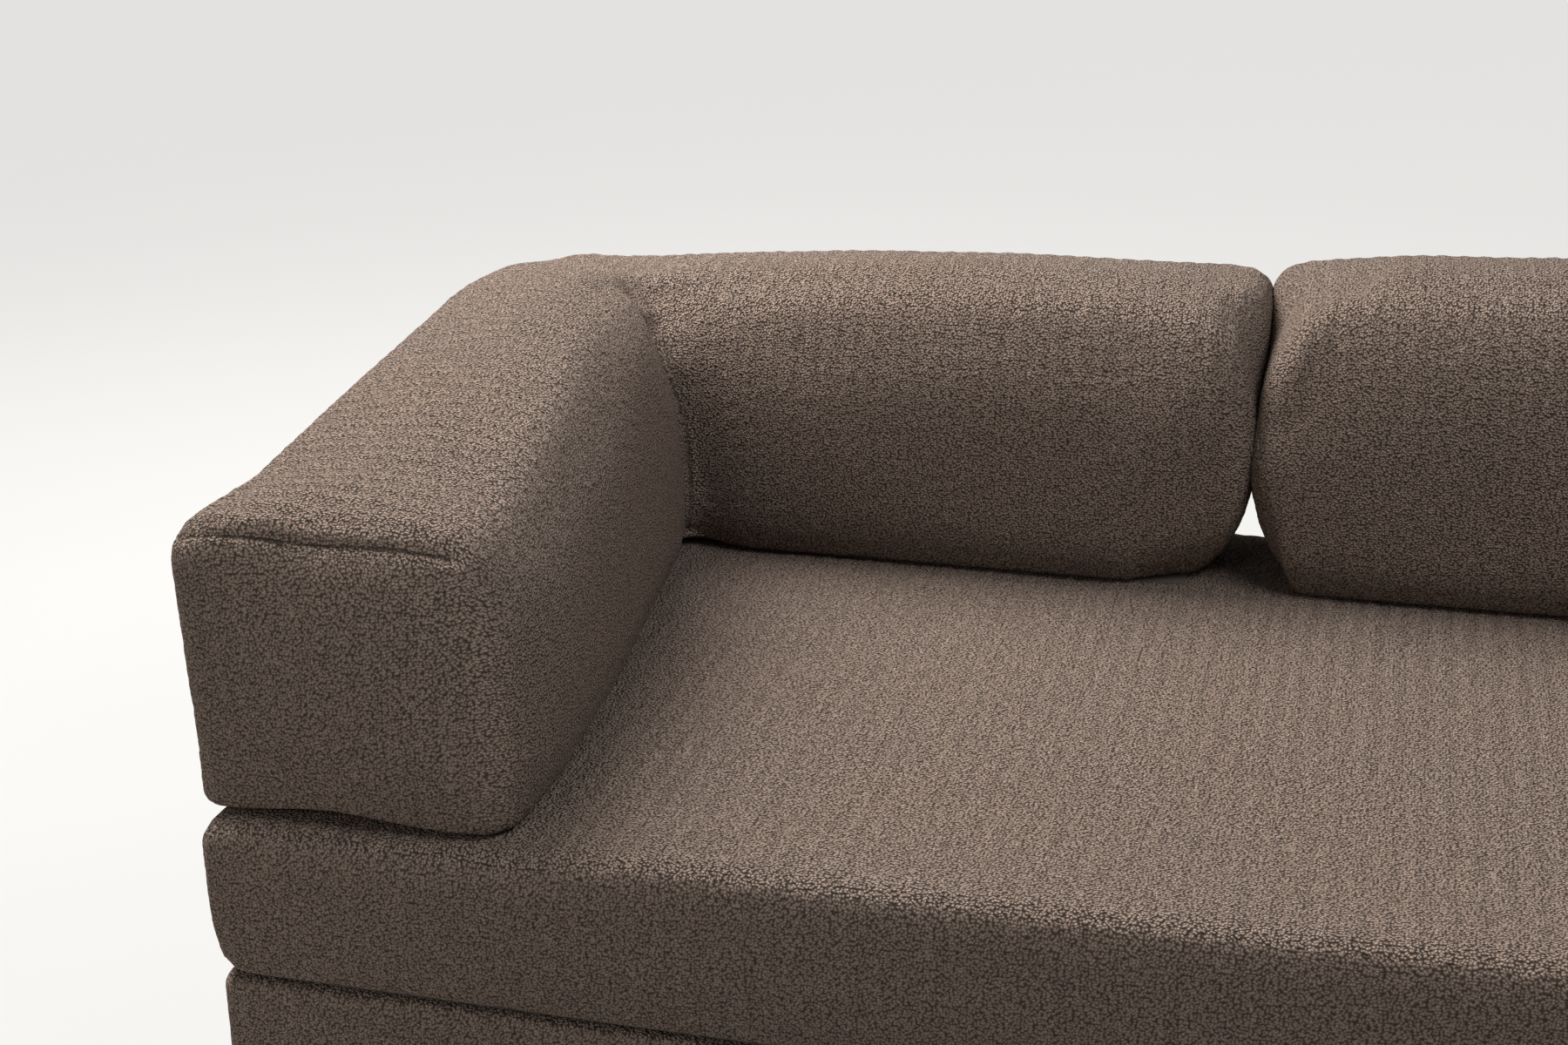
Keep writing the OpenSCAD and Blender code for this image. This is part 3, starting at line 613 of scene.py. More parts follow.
def rectangle_line(x0, x1, y0, y1, corner, step):
    """The first lists of a straight cushion's form: outline, spine and half width."""
    half = (y1 - y0) / 2
    middle = (y0 + y1) / 2
    run = np.linspace(x0 + half, x1 - half, max(3, int((x1 - x0 - 2 * half) / step)))
    right = end_points((x1 - half, middle), (1, 0), half, corner, min(step, 0.03))
    left = end_points((x0 + half, middle), (-1, 0), half, corner, min(step, 0.03))
    outline = ([np.array([x, y0]) for x in run] + right
               + [np.array([x, y1]) for x in run[::-1]] + left)
    spine = [np.array([min(x1 - half, max(x0 + half, p[0])), middle]) for p in outline]
    return outline, spine, [half] * len(outline)


def from_front(outline, y0, y1, front, rear):
    """A value for each point of an outline, which changes softly from front to rear."""
    return [mixed(front, rear, float(smooth((p[1] - y0) / (y1 - y0)))) for p in outline]


slab_line = rectangle_line(slab_left, slab_right, slab_front, slab_back, slab_corner, 0.04)
count = len(slab_line[0])
radii = from_front(slab_line[0], slab_front, slab_back, slab_front_round, slab_rear_round)
radii = [slab_end_round if min(p[0] - slab_left, slab_right - p[0]) < slab_corner * 0.6 else radius
         for p, radius in zip(slab_line[0], radii)]
slab_form = (*slab_line, [slab_edge_height] * count, [slab_top_height] * count, radii,
             [slab_draw] * count)
verts, faces = skin_mesh(slab_form, 5, slab_crown_from, slab_low + lining_room, 0.003)
seat_slab = closed_object("seat_slab", verts, faces)
remeshed(seat_slab, slab_voxel)
at = points_of(seat_slab)
level = at[:, 2] - slab_low
room_in = np.minimum.reduce([at[:, 0] - slab_left, slab_right - at[:, 0],
                             at[:, 1] - slab_front, slab_back - at[:, 1]])
loaded = (at[:, 2] > slab_high - 0.03) & ((at[:, 0] < -0.75) | (at[:, 1] > 0.26))
give = np.where(level > 0.12, mixed(0.001, 0.006, smooth((room_in - 0.05) / 0.25)), 0.005)
give = np.where(loaded, 0.0012, give) * smooth(level / 0.03)
swelled(seat_slab, 4.0, give, level < foot_held, 0.0)
refined(seat_slab)
at = points_of(seat_slab)
end_gap = np.minimum(at[:, 0] - slab_left, slab_right - at[:, 0])
slab_turned = ((end_gap < 0.03) & (at[:, 2] < slab_high - 0.012)).astype(float)
dressed(seat_slab, slab_turned, slab_low + lining_room, 11)
# Its lower rim hangs a little over the base's rounded edge, and its front edge stands up
at = points_of(seat_slab)
rim = np.minimum.reduce([at[:, 0] - slab_left, slab_right - at[:, 0], at[:, 1] - slab_front,
                         slab_back - at[:, 1]])
at[:, 2] -= rim_hang * smooth((0.024 - rim) / 0.010) * smooth(1 - (at[:, 2] - slab_low) / 0.05)
ridge = np.interp(at[:, 0], [-0.75, -0.63, -0.3, 0.0, 0.3, 0.9, 1.1],
                  [0, 0.012, 0.013, 0.018, 0.023, 0.023, 0.012])
ridge *= smooth((at[:, 2] - slab_low - 0.06) / 0.10)
at[:, 2] += ridge * np.exp(-(np.maximum(0, at[:, 1] - slab_front - 0.04) / 0.12) ** 2)
put_points(seat_slab, at)
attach(seat_slab, "seat")
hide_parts("seat_cover", "seat_foam", "seat_topper", "seat_wadding")


# The corner bolster: arm and corner back in one L-shaped cover over two mitred legs of
# foam. The arm is wide and low at its front end and rises towards the corner. The sides
# that the sitter leans on are well rounded, and a crease runs into the inner corner.
stand_on = 0.3818
arm_left = -1.116
arm_right = -0.768
arm_taper = 0.070
arm_front = -0.558
back_front = 0.276
back_rear = 0.586
corner_end = -0.1405
arm_half = (arm_right - arm_left) / 2
back_half = (back_rear - back_front) / 2
bolster_crown = 0.012
outer_round = 0.040
inner_round = 0.110
front_round = 0.070
inner_bend = 0.022
outer_bend = 0.052
side_draw = 0.020
arm_draw = 0.007
end_draw = 0.062
end_corner = 0.048
front_corner = 0.040
corner_dip = 0.018
dip_reach = 0.07
bolster_voxel = 0.0095
bolster_give = 0.009
bolster_waves = 0.0016
# How high the bolster stands, from the arm's front end (0) along the arm to the corner
# (1 to 2) and on to the right end (3)
height_places = [0, 0.15, 0.3, 0.46, 0.63, 0.77, 0.9, 1, 2, 2.23, 2.45, 2.77, 3]
heights_there = [0.316, 0.335, 0.352, 0.368, 0.384, 0.379, 0.358, 0.344, 0.336, 0.349, 0.361, 0.369,
                 0.367]


def bent_line(x, y, radius, start_y, end_x, taper):
    """Back towards x from taper beside it, round a bend, and right along y."""
    step = 0.03
    bend_steps = 8
    first = []
    for share in np.linspace(0, 1, max(3, int((y - radius - start_y) / step))):
        first.append(np.array([x + taper * (1 - share), mixed(start_y, y - radius, share)]))
    bend = []
    for k in range(1, bend_steps):
        angle = math.pi - math.pi / 2 * k / bend_steps
        bend.append(np.array([x + radius + radius * math.cos(angle),
                              y - radius + radius * math.sin(angle)]))
    second = [np.array([v, y]) for v in
              np.linspace(x + radius, end_x, max(3, int((end_x - x - radius) / step)))]
    return first, bend, second


def evened(parts, counts):
    """The parts of a line, each with the given number of points."""
    whole = []
    for part, count in zip(parts, counts):
        old = np.linspace(0, 1, len(part))
        new = np.linspace(0, 1, count)
        xs = np.interp(new, old, [p[0] for p in part])
        ys = np.interp(new, old, [p[1] for p in part])
        whole += [np.array([a, b]) for a, b in zip(xs, ys)]
    return whole


def l_shape():
    """The lists of the L-shaped form, from the arm's inner side right round to its front."""
    start_y = arm_front + arm_half
    end_x = corner_end - back_half
    inner_corner = np.array([arm_right - arm_taper, back_front])
    inner = bent_line(*inner_corner, inner_bend, start_y, end_x, arm_taper)
    outer = bent_line(arm_left, back_rear, outer_bend, start_y, end_x, 0)
    counts = [len(part) for part in inner]
    along = np.concatenate([np.linspace(0, 1, counts[0]), np.linspace(1, 2, counts[1] + 2)[1:-1],
                            np.linspace(2, 3, counts[2])])
    heights = list(np.interp(along, height_places, heights_there))
    inner = evened(inner, counts)
    outer = evened(outer, counts)
    middle = [(a + b) / 2 for a, b in zip(inner, outer)]
    halves = [(a[0] - b[0]) / 2 if share <= 1 else back_half
              for a, b, share in zip(inner, outer, along)]
    right = end_points(middle[-1], (1, 0), back_half, end_corner, 0.03)
    front = end_points(middle[0], (0, -1), arm_half, front_corner, 0.03)
    outline = inner + right + outer[::-1] + front
    spine = middle + [middle[-1]] * len(right) + middle[::-1] + [middle[0]] * len(front)
    half = halves + [back_half] * len(right) + halves[::-1] + [arm_half] * len(front)
    tops = heights + [heights[-1]] * len(right) + heights[::-1] + [heights[0]] * len(front)
    dips = [math.exp(-(np.linalg.norm(p - inner_corner) / dip_reach) ** 2) for p in outline]
    edges = [top - bolster_crown - corner_dip * dip for top, dip in zip(tops, dips)]
    radii = [mixed(inner_round * 0.8, inner_round, float(smooth(share * 2))) for share in along]
    for p in right:
        share = (back_rear - p[1]) / (back_rear - back_front)
        radii.append(mixed(outer_round, inner_round, float(smooth(share)) ** 3))
    radii += [outer_round] * len(outer)
    for p in front:
        share = (p[0] - arm_left) / (arm_right - arm_left)
        radius = mixed(outer_round, front_round, float(smooth(share * 3.5 - 0.2)))
        radii.append(mixed(radius, inner_round * 0.8, float(smooth(share * 3.2 - 2.2))))
    draws = [mixed(arm_draw, side_draw, float(smooth(share * 1.5 - 0.5))) for share in along]
    draws += [end_draw] * len(right) + [side_draw] * len(outer)
    draws += [mixed(0.003, arm_draw, float(smooth((p[0] - arm_left) / arm_half - 1))) for p in front]
    return outline, spine, half, edges, tops, radii, draws


verts, faces = skin_mesh(l_shape(), 2, 0, stand_on + lining_room, 0.002)
corner_bolster = closed_object("corner_bolster", verts, faces)
remeshed(corner_bolster, bolster_voxel)
at = points_of(corner_bolster)
level = at[:, 2] - stand_on
give = bolster_give * smooth(level / 0.05)
crease_gap = np.hypot(at[:, 0] - arm_right + arm_taper, at[:, 1] - back_front)
give *= smooth((crease_gap - 0.02) / 0.12) * smooth((corner_end + 0.01 - at[:, 0]) / 0.10)
swelled(corner_bolster, 5.0, give, level < foot_held, 0.02)
refined(corner_bolster)
at = points_of(corner_bolster)
corner_x = arm_right - arm_taper
bolster_turned = (((at[:, 1] - back_front) < (corner_x - at[:, 0])) & (at[:, 1] > arm_front + 0.03)
                  | (at[:, 0] > corner_end - 0.03)).astype(float)
# The crease climbs the inner corner and runs on over the rounded top edges
shoulder = stand_on + 0.21
crease = [(corner_x, back_front, z) for z in np.linspace(stand_on + 0.004, shoulder, 8)]
for angle in np.linspace(0, 62, 7)[1:]:
    turn = math.radians(angle)
    out = inner_round * (1 - math.cos(turn))
    crease.append((corner_x - out, back_front + out, shoulder + inner_round * math.sin(turn)))
front_seam = [(x, arm_front + 0.010, stand_on + 0.293 + (x - arm_left) * 0.06)
              for x in np.linspace(arm_left + 0.016, -0.810, 12)]
dressed(corner_bolster, bolster_turned, stand_on + lining_room, 21, seams=[front_seam], folds=[crease],
        dents=[((-0.790, -0.535, 0.625), 0.010, 0.035), ((-0.815, -0.545, 0.655), -0.006, 0.028),
               ((-0.985, 0.44, 0.745), 0.010, 0.075), ((-0.93, -0.558, 0.50), -0.004, 0.10),
               ((-0.86, 0.49, 0.755), -0.003, 0.06), ((-0.20, 0.30, 0.52), 0.006, 0.05)],
        waves=bolster_waves)
# The hem at the arm's front end is lifted off the seat in the middle
at = points_of(corner_bolster)
hem_lift = 0.012
hem_x = -0.955
near = smooth((arm_front + 0.10 - at[:, 1]) / 0.09) * smooth(1 - (at[:, 2] - stand_on) / 0.13)
lift = hem_lift * np.exp(-((at[:, 0] - hem_x) / 0.085) ** 2)
at[:, 2] += lift * near
put_points(corner_bolster, at)
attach(corner_bolster, "corner_bolster")
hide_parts("corner_cover", "corner_side_foam", "corner_back_foam",
            "corner_side_wadding", "corner_back_wadding")


# The back bolster: a straight cushion of foam and wadding beside the corner bolster, a
# little higher and fuller, with the same rounded front and a closer rounded rear edge. Both
# bolsters stand loose on the slab and lift off.
bolster_left = -0.1500
bolster_right = 1.116
bolster_line = rectangle_line(bolster_left, bolster_right, back_front, back_rear, end_corner, 0.03)
tops = [float(np.interp(p[0], [-0.145, -0.085, 0.04, 0.2, 0.7, 1.1],
                        [0.377, 0.382, 0.391, 0.396, 0.397, 0.388])) for p in bolster_line[0]]
edges = [top - bolster_crown for top in tops]
radii = from_front(bolster_line[0], back_front, back_rear, inner_round, outer_round)
draws = [mixed(end_draw, side_draw,
               float(smooth(min(p[0] - bolster_left, bolster_right - p[0]) / 0.060)))
         for p in bolster_line[0]]
back_form = (*bolster_line, edges, tops, radii, draws)
verts, faces = skin_mesh(back_form, 2, 0, stand_on + lining_room, 0.002)
back_bolster = closed_object("back_bolster", verts, faces)
remeshed(back_bolster, bolster_voxel)
at = points_of(back_bolster)
level = at[:, 2] - stand_on
give = bolster_give * smooth(level / 0.05) * smooth((at[:, 0] - bolster_left + 0.01) / 0.10)
swelled(back_bolster, 5.0, give, level < foot_held, 0.02)
refined(back_bolster)
at = points_of(back_bolster)
end_gap = np.minimum(at[:, 0] - bolster_left, bolster_right - at[:, 0])
dressed(back_bolster, (end_gap < 0.03).astype(float), stand_on + lining_room, 31, waves=bolster_waves,
        dents=[((-0.135, 0.275, 0.60), 0.012, 0.040), ((-0.13, 0.285, 0.56), -0.004, 0.05),
               ((-0.10, 0.45, 0.775), 0.006, 0.06)])
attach(back_bolster, "back_bolster")
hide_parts("back_cover", "back_foam", "back_wadding")


# The base's border: the same boucle stretched round the timber box and turned in over the
# pad on top, stapled along the bottom of the rails and sewn together once at the rear.
base_inset = 0.012
base_corner = 0.026
base_low = 0.022
base_high = 0.208
border_thick = 0.006
border_round = 0.016
border_turn = 0.070
border_seam_x = 0.31
border_seam_deep = 0.0016
border_puff = 0.0009
border_lump = 0.0005


def box_line(inset, corner, step):
    """Outline, spine and half width of what stands that far inside the slab's edges."""
    return rectangle_line(slab_left + inset, slab_right - inset, slab_front + inset,
                          slab_back - inset, corner, step)


def border_mesh(line, thick):
    """A closed strip round the box, with its turned-in top."""
    shoulder = base_high - base_low - border_round
    outer = [(0.0, z) for z in np.linspace(0, shoulder, 16)]
    inner = [(thick, z) for z in np.linspace(0, shoulder, 8)]
    for angle in np.linspace(0, math.pi / 2, 6)[1:]:
        outer.append((border_round * (1 - math.cos(angle)), shoulder + border_round * math.sin(angle)))
        bend = border_round - thick
        inner.append((border_round - bend * math.cos(angle), shoulder + bend * math.sin(angle)))
    flat = np.linspace(border_round, border_turn, 6)[1:]
    outer += [(inset, base_high - base_low) for inset in flat]
    inner += [(inset, base_high - base_low - thick) for inset in flat]
    loop = outer + inner[::-1]
    verts = [(*mixed(p, s, inset / half), base_low + z)
             for p, s, half in zip(*line) for inset, z in loop]
    return verts, ring_faces(len(line[0]), len(loop), True)


verts, faces = border_mesh(box_line(base_inset, base_corner, 0.012), border_thick)
base_border = closed_object("base_border_cloth", verts, faces)
refined(base_border)
at = points_of(base_border)
border_seam = np.where(at[:, 1] > 0, np.abs(at[:, 0] - border_seam_x), seam_room)
puffs = border_puff * spread_noise(at, 0.11, 41) + border_lump * spread_noise(at, 0.006, 42)
puffs -= border_seam_deep * np.exp(-(border_seam / 0.006) ** 2)
puffs *= smooth((at[:, 2] - base_low) / 0.01) * smooth((base_high + 0.004 - at[:, 2]) / 0.01)
put_points(base_border, at + normals_of(base_border) * puffs[:, None])
# The rear seam gets the boucle's painted shade too.
covered(base_border, (np.abs(at[:, 0]) > slab_right - 0.03).astype(float),
        np.minimum(border_seam, seam_room), 43)
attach(base_border, "base")
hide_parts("base_border")


# Plain cloths: the deck cloth inside the border, the linings that close each cushion at
# the bottom and the black dust cloth under the box. All are thin woven polyester, the deck
# cloth and linings brown-grey; the dust cloth has holes for the glides.
cloth_grid = 0.02
lining_grid = 0.015
lining_thick = 0.0011
lining_up = 0.0003
lining_in = 0.036
seat_lining_in = 0.022
deck_cloth_low = 0.2022
deck_cloth_thick = 0.0014
dust_cloth_low = 0.0203
dust_cloth_thick = 0.0012
# The linings of the bolsters end where the drawn-in ends leave the seat
lining_end = 0.078


def cloth_paint(name, light, deep, thread):
    """A plain weave with threads that far apart, a little worn and fuzzy."""
    paint = Paint(name)
    place = paint.coords()
    split = paint.node("ShaderNodeSeparateXYZ", {}, {0: place})
    turn = 2 * math.pi / thread
    weave = (split.of("X") * turn).wave() * (split.of("Y") * turn).wave()
    wear = paint.noise(place, 14.0, 3.0, 0.6)
    fuzz = paint.noise(place, 700.0, 2.0)
    factor = (weave * 0.28 + wear * 0.7 + (fuzz - 0.5) * 0.4 + 0.1).held()
    colour = paint.blend_colour(factor, deep, light)
    raised = paint.bump(weave * 0.5 + fuzz * 0.4, 0.0004, 0.6)
    return paint.surface({"Base Color": colour, "Roughness": 0.9, "Normal": raised,
                          "Specular IOR Level": 0.2})


lining_paint = cloth_paint("lining_cloth", to_linear(104, 95, 87), to_linear(78, 70, 63), 0.0011)
dust_paint = cloth_paint("dust_cloth", to_linear(40, 40, 41), to_linear(22, 22, 23), 0.0016)


def inset_line(form, inset):
    """A form's outline, moved in towards the spine."""
    return [tuple(float(c) for c in mixed(p, s, inset / half)) for p, s, half in zip(*form[:3])]


def inside(points, line):
    """Which points lie within a closed line."""
    found = np.zeros(len(points), bool)
    x = points[:, 0]
    y = points[:, 1]
    for (ax, ay), (bx, by) in zip(line, line[1:] + line[:1]):
        if ay != by:
            crossed = (ay > y) != (by > y)
            found ^= crossed & (x < (bx - ax) * (y - ay) / (by - ay) + ax)
    return found


def cloth_sheet(name, line, low, thick, grid, seed, paint, holes=()):
    """A thin closed sheet inside a line and outside its holes, slightly uneven."""
    xs = [p[0] for p in line]
    ys = [p[1] for p in line]
    across, along = np.meshgrid(np.arange(min(xs) + grid / 2, max(xs), grid),
                                np.arange(min(ys) + grid / 2, max(ys), grid))
    places = np.stack([across.ravel(), along.ravel()], 1)
    keep = inside(places, line)
    for hole in holes:
        middle = np.mean(hole, axis=0)
        keep &= np.linalg.norm(places - middle, axis=1) > np.linalg.norm(hole[0] - middle) + grid / 3
    loops = [line] + [[tuple(p) for p in hole] for hole in holes]
    points = [Vector(p) for loop in loops for p in loop] + [Vector(p) for p in places[keep]]
    edges = []
    start = 0
    for loop in loops:
        count = len(loop)
        edges += [(start + k, start + (k + 1) % count) for k in range(count)]
        start += count
    flat = delaunay_2d_cdt(points, edges, [], 0, 1e-6)
    spots = np.array([tuple(p) for p in flat[0]])
    middles = np.array([spots[list(face)].mean(axis=0) for face in flat[2]])
    kept = inside(middles, line)
    for hole in holes:
        kept &= ~inside(middles, [tuple(p) for p in hole])
    triangles = [tuple(face) for face, wanted in zip(flat[2], kept) if wanted]
    swell = spread_noise(np.column_stack([spots, np.zeros(len(spots))]), 0.05, seed)
    heights = low + 0.00012 * swell
    count = len(spots)
    verts = [(x, y, z) for (x, y), z in zip(spots, heights)]
    verts += [(x, y, z + thick) for (x, y), z in zip(spots, heights)]
    faces = [face[::-1] for face in triangles] + [tuple(v + count for v in face) for face in triangles]
    around = [side for face in triangles for side in zip(face, face[1:] + face[:1])]
    inner = {(b, a) for a, b in around}
    faces += [(a, b, b + count, a + count) for a, b in around if (a, b) not in inner]
    sheet = closed_object(name, verts, faces)
    sheet.data.materials.append(paint)
    return sheet


def ring(x, y, radius, count):
    """Points round a circle."""
    angles = np.linspace(0, 2 * math.pi, count + 1)[:-1]
    return np.stack([x + radius * np.cos(angles), y + radius * np.sin(angles)], 1)


deck_line = inset_line(box_line(base_inset, base_corner, cloth_grid), border_turn + 0.0005)
deck_cloth = cloth_sheet("deck_cloth_sheet", deck_line, deck_cloth_low, deck_cloth_thick, cloth_grid,
                         51, lining_paint)
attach(deck_cloth, "base")
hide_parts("deck_cloth")

slab_edge = box_line(0.0, 0.034, cloth_grid)
seat_lining = cloth_sheet("seat_lining_sheet", inset_line(slab_edge, seat_lining_in),
                          slab_low + lining_up, lining_thick, cloth_grid, 52, lining_paint)
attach(seat_lining, "seat")
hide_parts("seat_lining")

corner_line = [(min(x, corner_end - lining_end), y) for x, y in inset_line(l_shape(), lining_in)]
corner_lining = cloth_sheet("corner_lining_sheet", corner_line, stand_on + lining_up, lining_thick,
                            lining_grid, 53, lining_paint)
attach(corner_lining, "corner_bolster")
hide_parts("corner_lining")

back_line = [(min(max(x, bolster_left + lining_end), bolster_right - lining_end), y)
             for x, y in inset_line(back_form, lining_in)]
back_lining = cloth_sheet("back_lining_sheet", back_line, stand_on + lining_up, lining_thick,
                          lining_grid, 54, lining_paint)
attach(back_lining, "back_bolster")
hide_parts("back_lining")

rail_inset = base_inset + border_thick
rail_thick = 0.025
block_side = 0.060
glide_hole = 0.0252
block_in = rail_inset + rail_thick + block_side / 2
block_xs = [slab_left + block_in, 0.0, slab_right - block_in]
block_ys = [slab_front + block_in, slab_back - block_in]
glide_holes = [ring(x, y, glide_hole, 28) for x in block_xs for y in block_ys]
dust_cloth = cloth_sheet("dust_cloth_sheet", inset_line(slab_edge, rail_inset), dust_cloth_low,
                         dust_cloth_thick, cloth_grid, 55, dust_paint, glide_holes)
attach(dust_cloth, "base")
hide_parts("dust_cloth")


# The base pad: a sheet of polyether foam 28 mm thick that lies on the webbing, cut to the
# inside of the border and pressed a little round at its edges.
pad_low = 0.174
pad_thick = 0.028
pad_inset = 0.0285
pad_corner = 0.012
pad_round = 0.006
pad_draw = 0.001
foam_paint = Paint("pad_foam")
foam_place = foam_paint.coords()
cells = foam_paint.node("ShaderNodeTexVoronoi", {"feature": "F1"}, {"Vector": foam_place, "Scale": 850.0})
cloud = foam_paint.noise(foam_place, 7.0, 3.0)
foam_hue = foam_paint.blend_colour((cells.of("Distance") * 0.9 + (cloud - 0.5) * 0.5).held(),
                                   to_linear(176, 184, 188), to_linear(140, 148, 152))
foam_raised = foam_paint.bump(cells.of("Distance"), 0.0006, 0.7)
foam_paint.surface({"Base Color": foam_hue, "Roughness": 0.95, "Normal": foam_raised})
pad_line = box_line(pad_inset, pad_corner, 0.04)
count = len(pad_line[0])
pad_form = (*pad_line, [pad_thick] * count, [pad_thick] * count, [pad_round] * count,
            [pad_draw] * count)
verts, faces = skin_mesh(pad_form, 2, 0.02, pad_low, 0.0002)
base_pad = closed_object("base_pad_foam", verts, faces)
base_pad.data.materials.append(foam_paint.material)
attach(base_pad, "base")
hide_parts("base_pad")


# The zips: one low on the rear side of each cushion, woven tape with a closed coil chain
# and a metal stop at either end, sewn into the cover, and a slider with a pull tab that
# runs along it.
tape_wide = 0.026
tape_thick = 0.0008
chain_wide = 0.006
chain_thick = 0.002
slider_wall = 0.0014
zip_set = 0.190
zip_out = 0.0003
tooth_pitch = 0.0026
tooth_long = 0.0018
tooth_tall = 0.0032
tooth_round = 0.0004
teeth_apart = 0.0013
teeth_end = 0.0012
teeth_room = 0.003
cushion_draw = 0.016
placket_wide = 0.004
placket_soft = 0.02
placket_in = 0.0004

tape_paint = cloth_paint("zip_tape", to_linear(112, 96, 84), to_linear(88, 74, 64), 0.0009)
coil_paint = Paint("zip_coil")
coil_grain = coil_paint.noise(coil_paint.coords(), 300.0, 2.0)
coil_hue = coil_paint.blend_colour(coil_grain, to_linear(96, 82, 72), to_linear(120, 104, 92))
coil_paint.surface({"Base Color": coil_hue, "Roughness": coil_grain * 0.2 + 0.35})


def worn_metal(name, scale, dark, light, metallic, rough, smoothest, dent):
    """Metal that is duller and lighter in some places than in others."""
    paint = Paint(name)
    wear = paint.noise(paint.coords(), scale, 3.0, 0.6)
    paint.surface({"Base Color": paint.blend_colour(wear, dark, light), "Metallic": metallic,
                   "Roughness": wear * rough + smoothest, "Normal": paint.bump(wear, 0.0002, dent)})
    return paint


metal_paint = worn_metal("zip_metal", 220.0, to_linear(74, 68, 62), to_linear(112, 104, 96),
                         0.85, 0.3, 0.3, 0.5)


def box_parts(boxes):
    """The corners and faces of boxes, each given by its two furthest corners."""
    verts = []
    faces = []
    for low, high in boxes:
        n = len(verts)
        verts += [(x, y, z) for x in (low[0], high[0]) for y in (low[1], high[1])
                  for z in (low[2], high[2])]
        faces += [tuple(n + k for k in face) for face in
                  ((0, 1, 3, 2), (4, 6, 7, 5), (0, 4, 5, 1), (2, 3, 7, 6), (0, 2, 6, 4), (1, 5, 7, 3))]
    return verts, faces


def bevelled(obj, width, segments):
    """The object with its sharp edges rounded off."""
    change = obj.modifiers.new("bevel", "BEVEL")
    change.width = width
    change.segments = segments
    change.limit_method = "ANGLE"
    return taken(obj)


def made_of_nodes(name, values):
    """A modifier's new node group with the given named inputs, and its first nodes."""
    group = bpy.data.node_groups.new(name, "GeometryNodeTree")
    group.interface.new_socket("Geometry", in_out="INPUT", socket_type="NodeSocketGeometry")
    for label, kind, value in values:
        socket = group.interface.new_socket(label, in_out="INPUT", socket_type=kind)
        if value is not None:
            socket.default_value = value
    group.interface.new_socket("Geometry", in_out="OUTPUT", socket_type="NodeSocketGeometry")
    return group, group.nodes.new("NodeGroupInput"), group.nodes.new("NodeGroupOutput")


def run_nodes(obj, group, values):
    """Runs the node group on the object and keeps the plain mesh it makes."""
    change = obj.modifiers.new(group.name, "NODES")
    change.node_group = group
    sockets = {item.name: item.identifier for item in group.interface.items_tree
               if item.in_out == "INPUT"}
    for label, value in values.items():
        change[sockets[label]] = value
    return taken(obj)


# Teeth stand along both sides of the chain, each side half a pitch on from the other
tooth = closed_object("zip_tooth", *box_parts([((-tooth_long / 2, 0.0, -tooth_tall / 2),
                                                (tooth_long / 2, chain_thick, tooth_tall / 2))]))
bevelled(tooth, tooth_round, 1)
teeth_group, teeth_in, teeth_out = made_of_nodes("zip_teeth", [
    ("Tooth", "NodeSocketObject", None), ("Count", "NodeSocketInt", 100),
    ("Pitch", "NodeSocketFloat", tooth_pitch), ("Paint", "NodeSocketMaterial", None)])
new = teeth_group.nodes.new
link = teeth_group.links.new
tooth_info = new("GeometryNodeObjectInfo")
join = new("GeometryNodeJoinGeometry")
link(teeth_in.outputs["Tooth"], tooth_info.inputs["Object"])
for side, shift in ((-1, 0.0), (1, 0.5)):
    row = new("GeometryNodeMeshLine")
    row.mode = "OFFSET"
    step_along = new("ShaderNodeCombineXYZ")
    first = new("ShaderNodeCombineXYZ")
    place = new("ShaderNodeMath")
    place.operation = "MULTIPLY_ADD"
    place.inputs[1].default_value = shift
    place.inputs[2].default_value = slider_wall + teeth_end
    first.inputs["Y"].default_value = tape_thick
    first.inputs["Z"].default_value = side * teeth_apart
    stand = new("GeometryNodeInstanceOnPoints")
    whole = new("GeometryNodeRealizeInstances")
    dyed = new("GeometryNodeSetMaterial")
    link(teeth_in.outputs["Count"], row.inputs["Count"])
    link(teeth_in.outputs["Pitch"], step_along.inputs["X"])
    link(teeth_in.outputs["Pitch"], place.inputs[0])
    link(place.outputs[0], first.inputs["X"])
    link(first.outputs[0], row.inputs["Start Location"])
    link(step_along.outputs[0], row.inputs["Offset"])
    link(row.outputs[0], stand.inputs["Points"])
    link(tooth_info.outputs["Geometry"], stand.inputs["Instance"])
    link(stand.outputs[0], whole.inputs[0])
    link(whole.outputs[0], dyed.inputs["Geometry"])
    link(teeth_in.outputs["Paint"], dyed.inputs["Material"])
    link(dyed.outputs[0], join.inputs[0])
link(teeth_in.outputs["Geometry"], join.inputs[0])
link(join.outputs[0], teeth_out.inputs[0])


def zip_pose(shoulder, power, foot, rear):
    """Height, depth and lean of a zip low on a cushion's rear side, between these shares
    of the side's height."""
    low = 0.12
    high = 0.35
    low_in = cushion_draw * (1 - low) ** power
    high_in = cushion_draw * (1 - high) ** power
    lean = math.atan((low_in - high_in) / ((high - low) * shoulder))
    return foot + (low + high) / 2 * shoulder, rear - (low_in + high_in) / 2, lean


def set_in(obj, x, height, depth, lean, out):
    """Puts what was made at the origin on a cushion's rear side, that far out of it."""
    turn = Matrix.Rotation(-lean, 4, "X")
    obj.data.transform(Matrix.Translation((x, depth, height)) @ turn @ Matrix.Translation((0, out, 0)))
    return obj


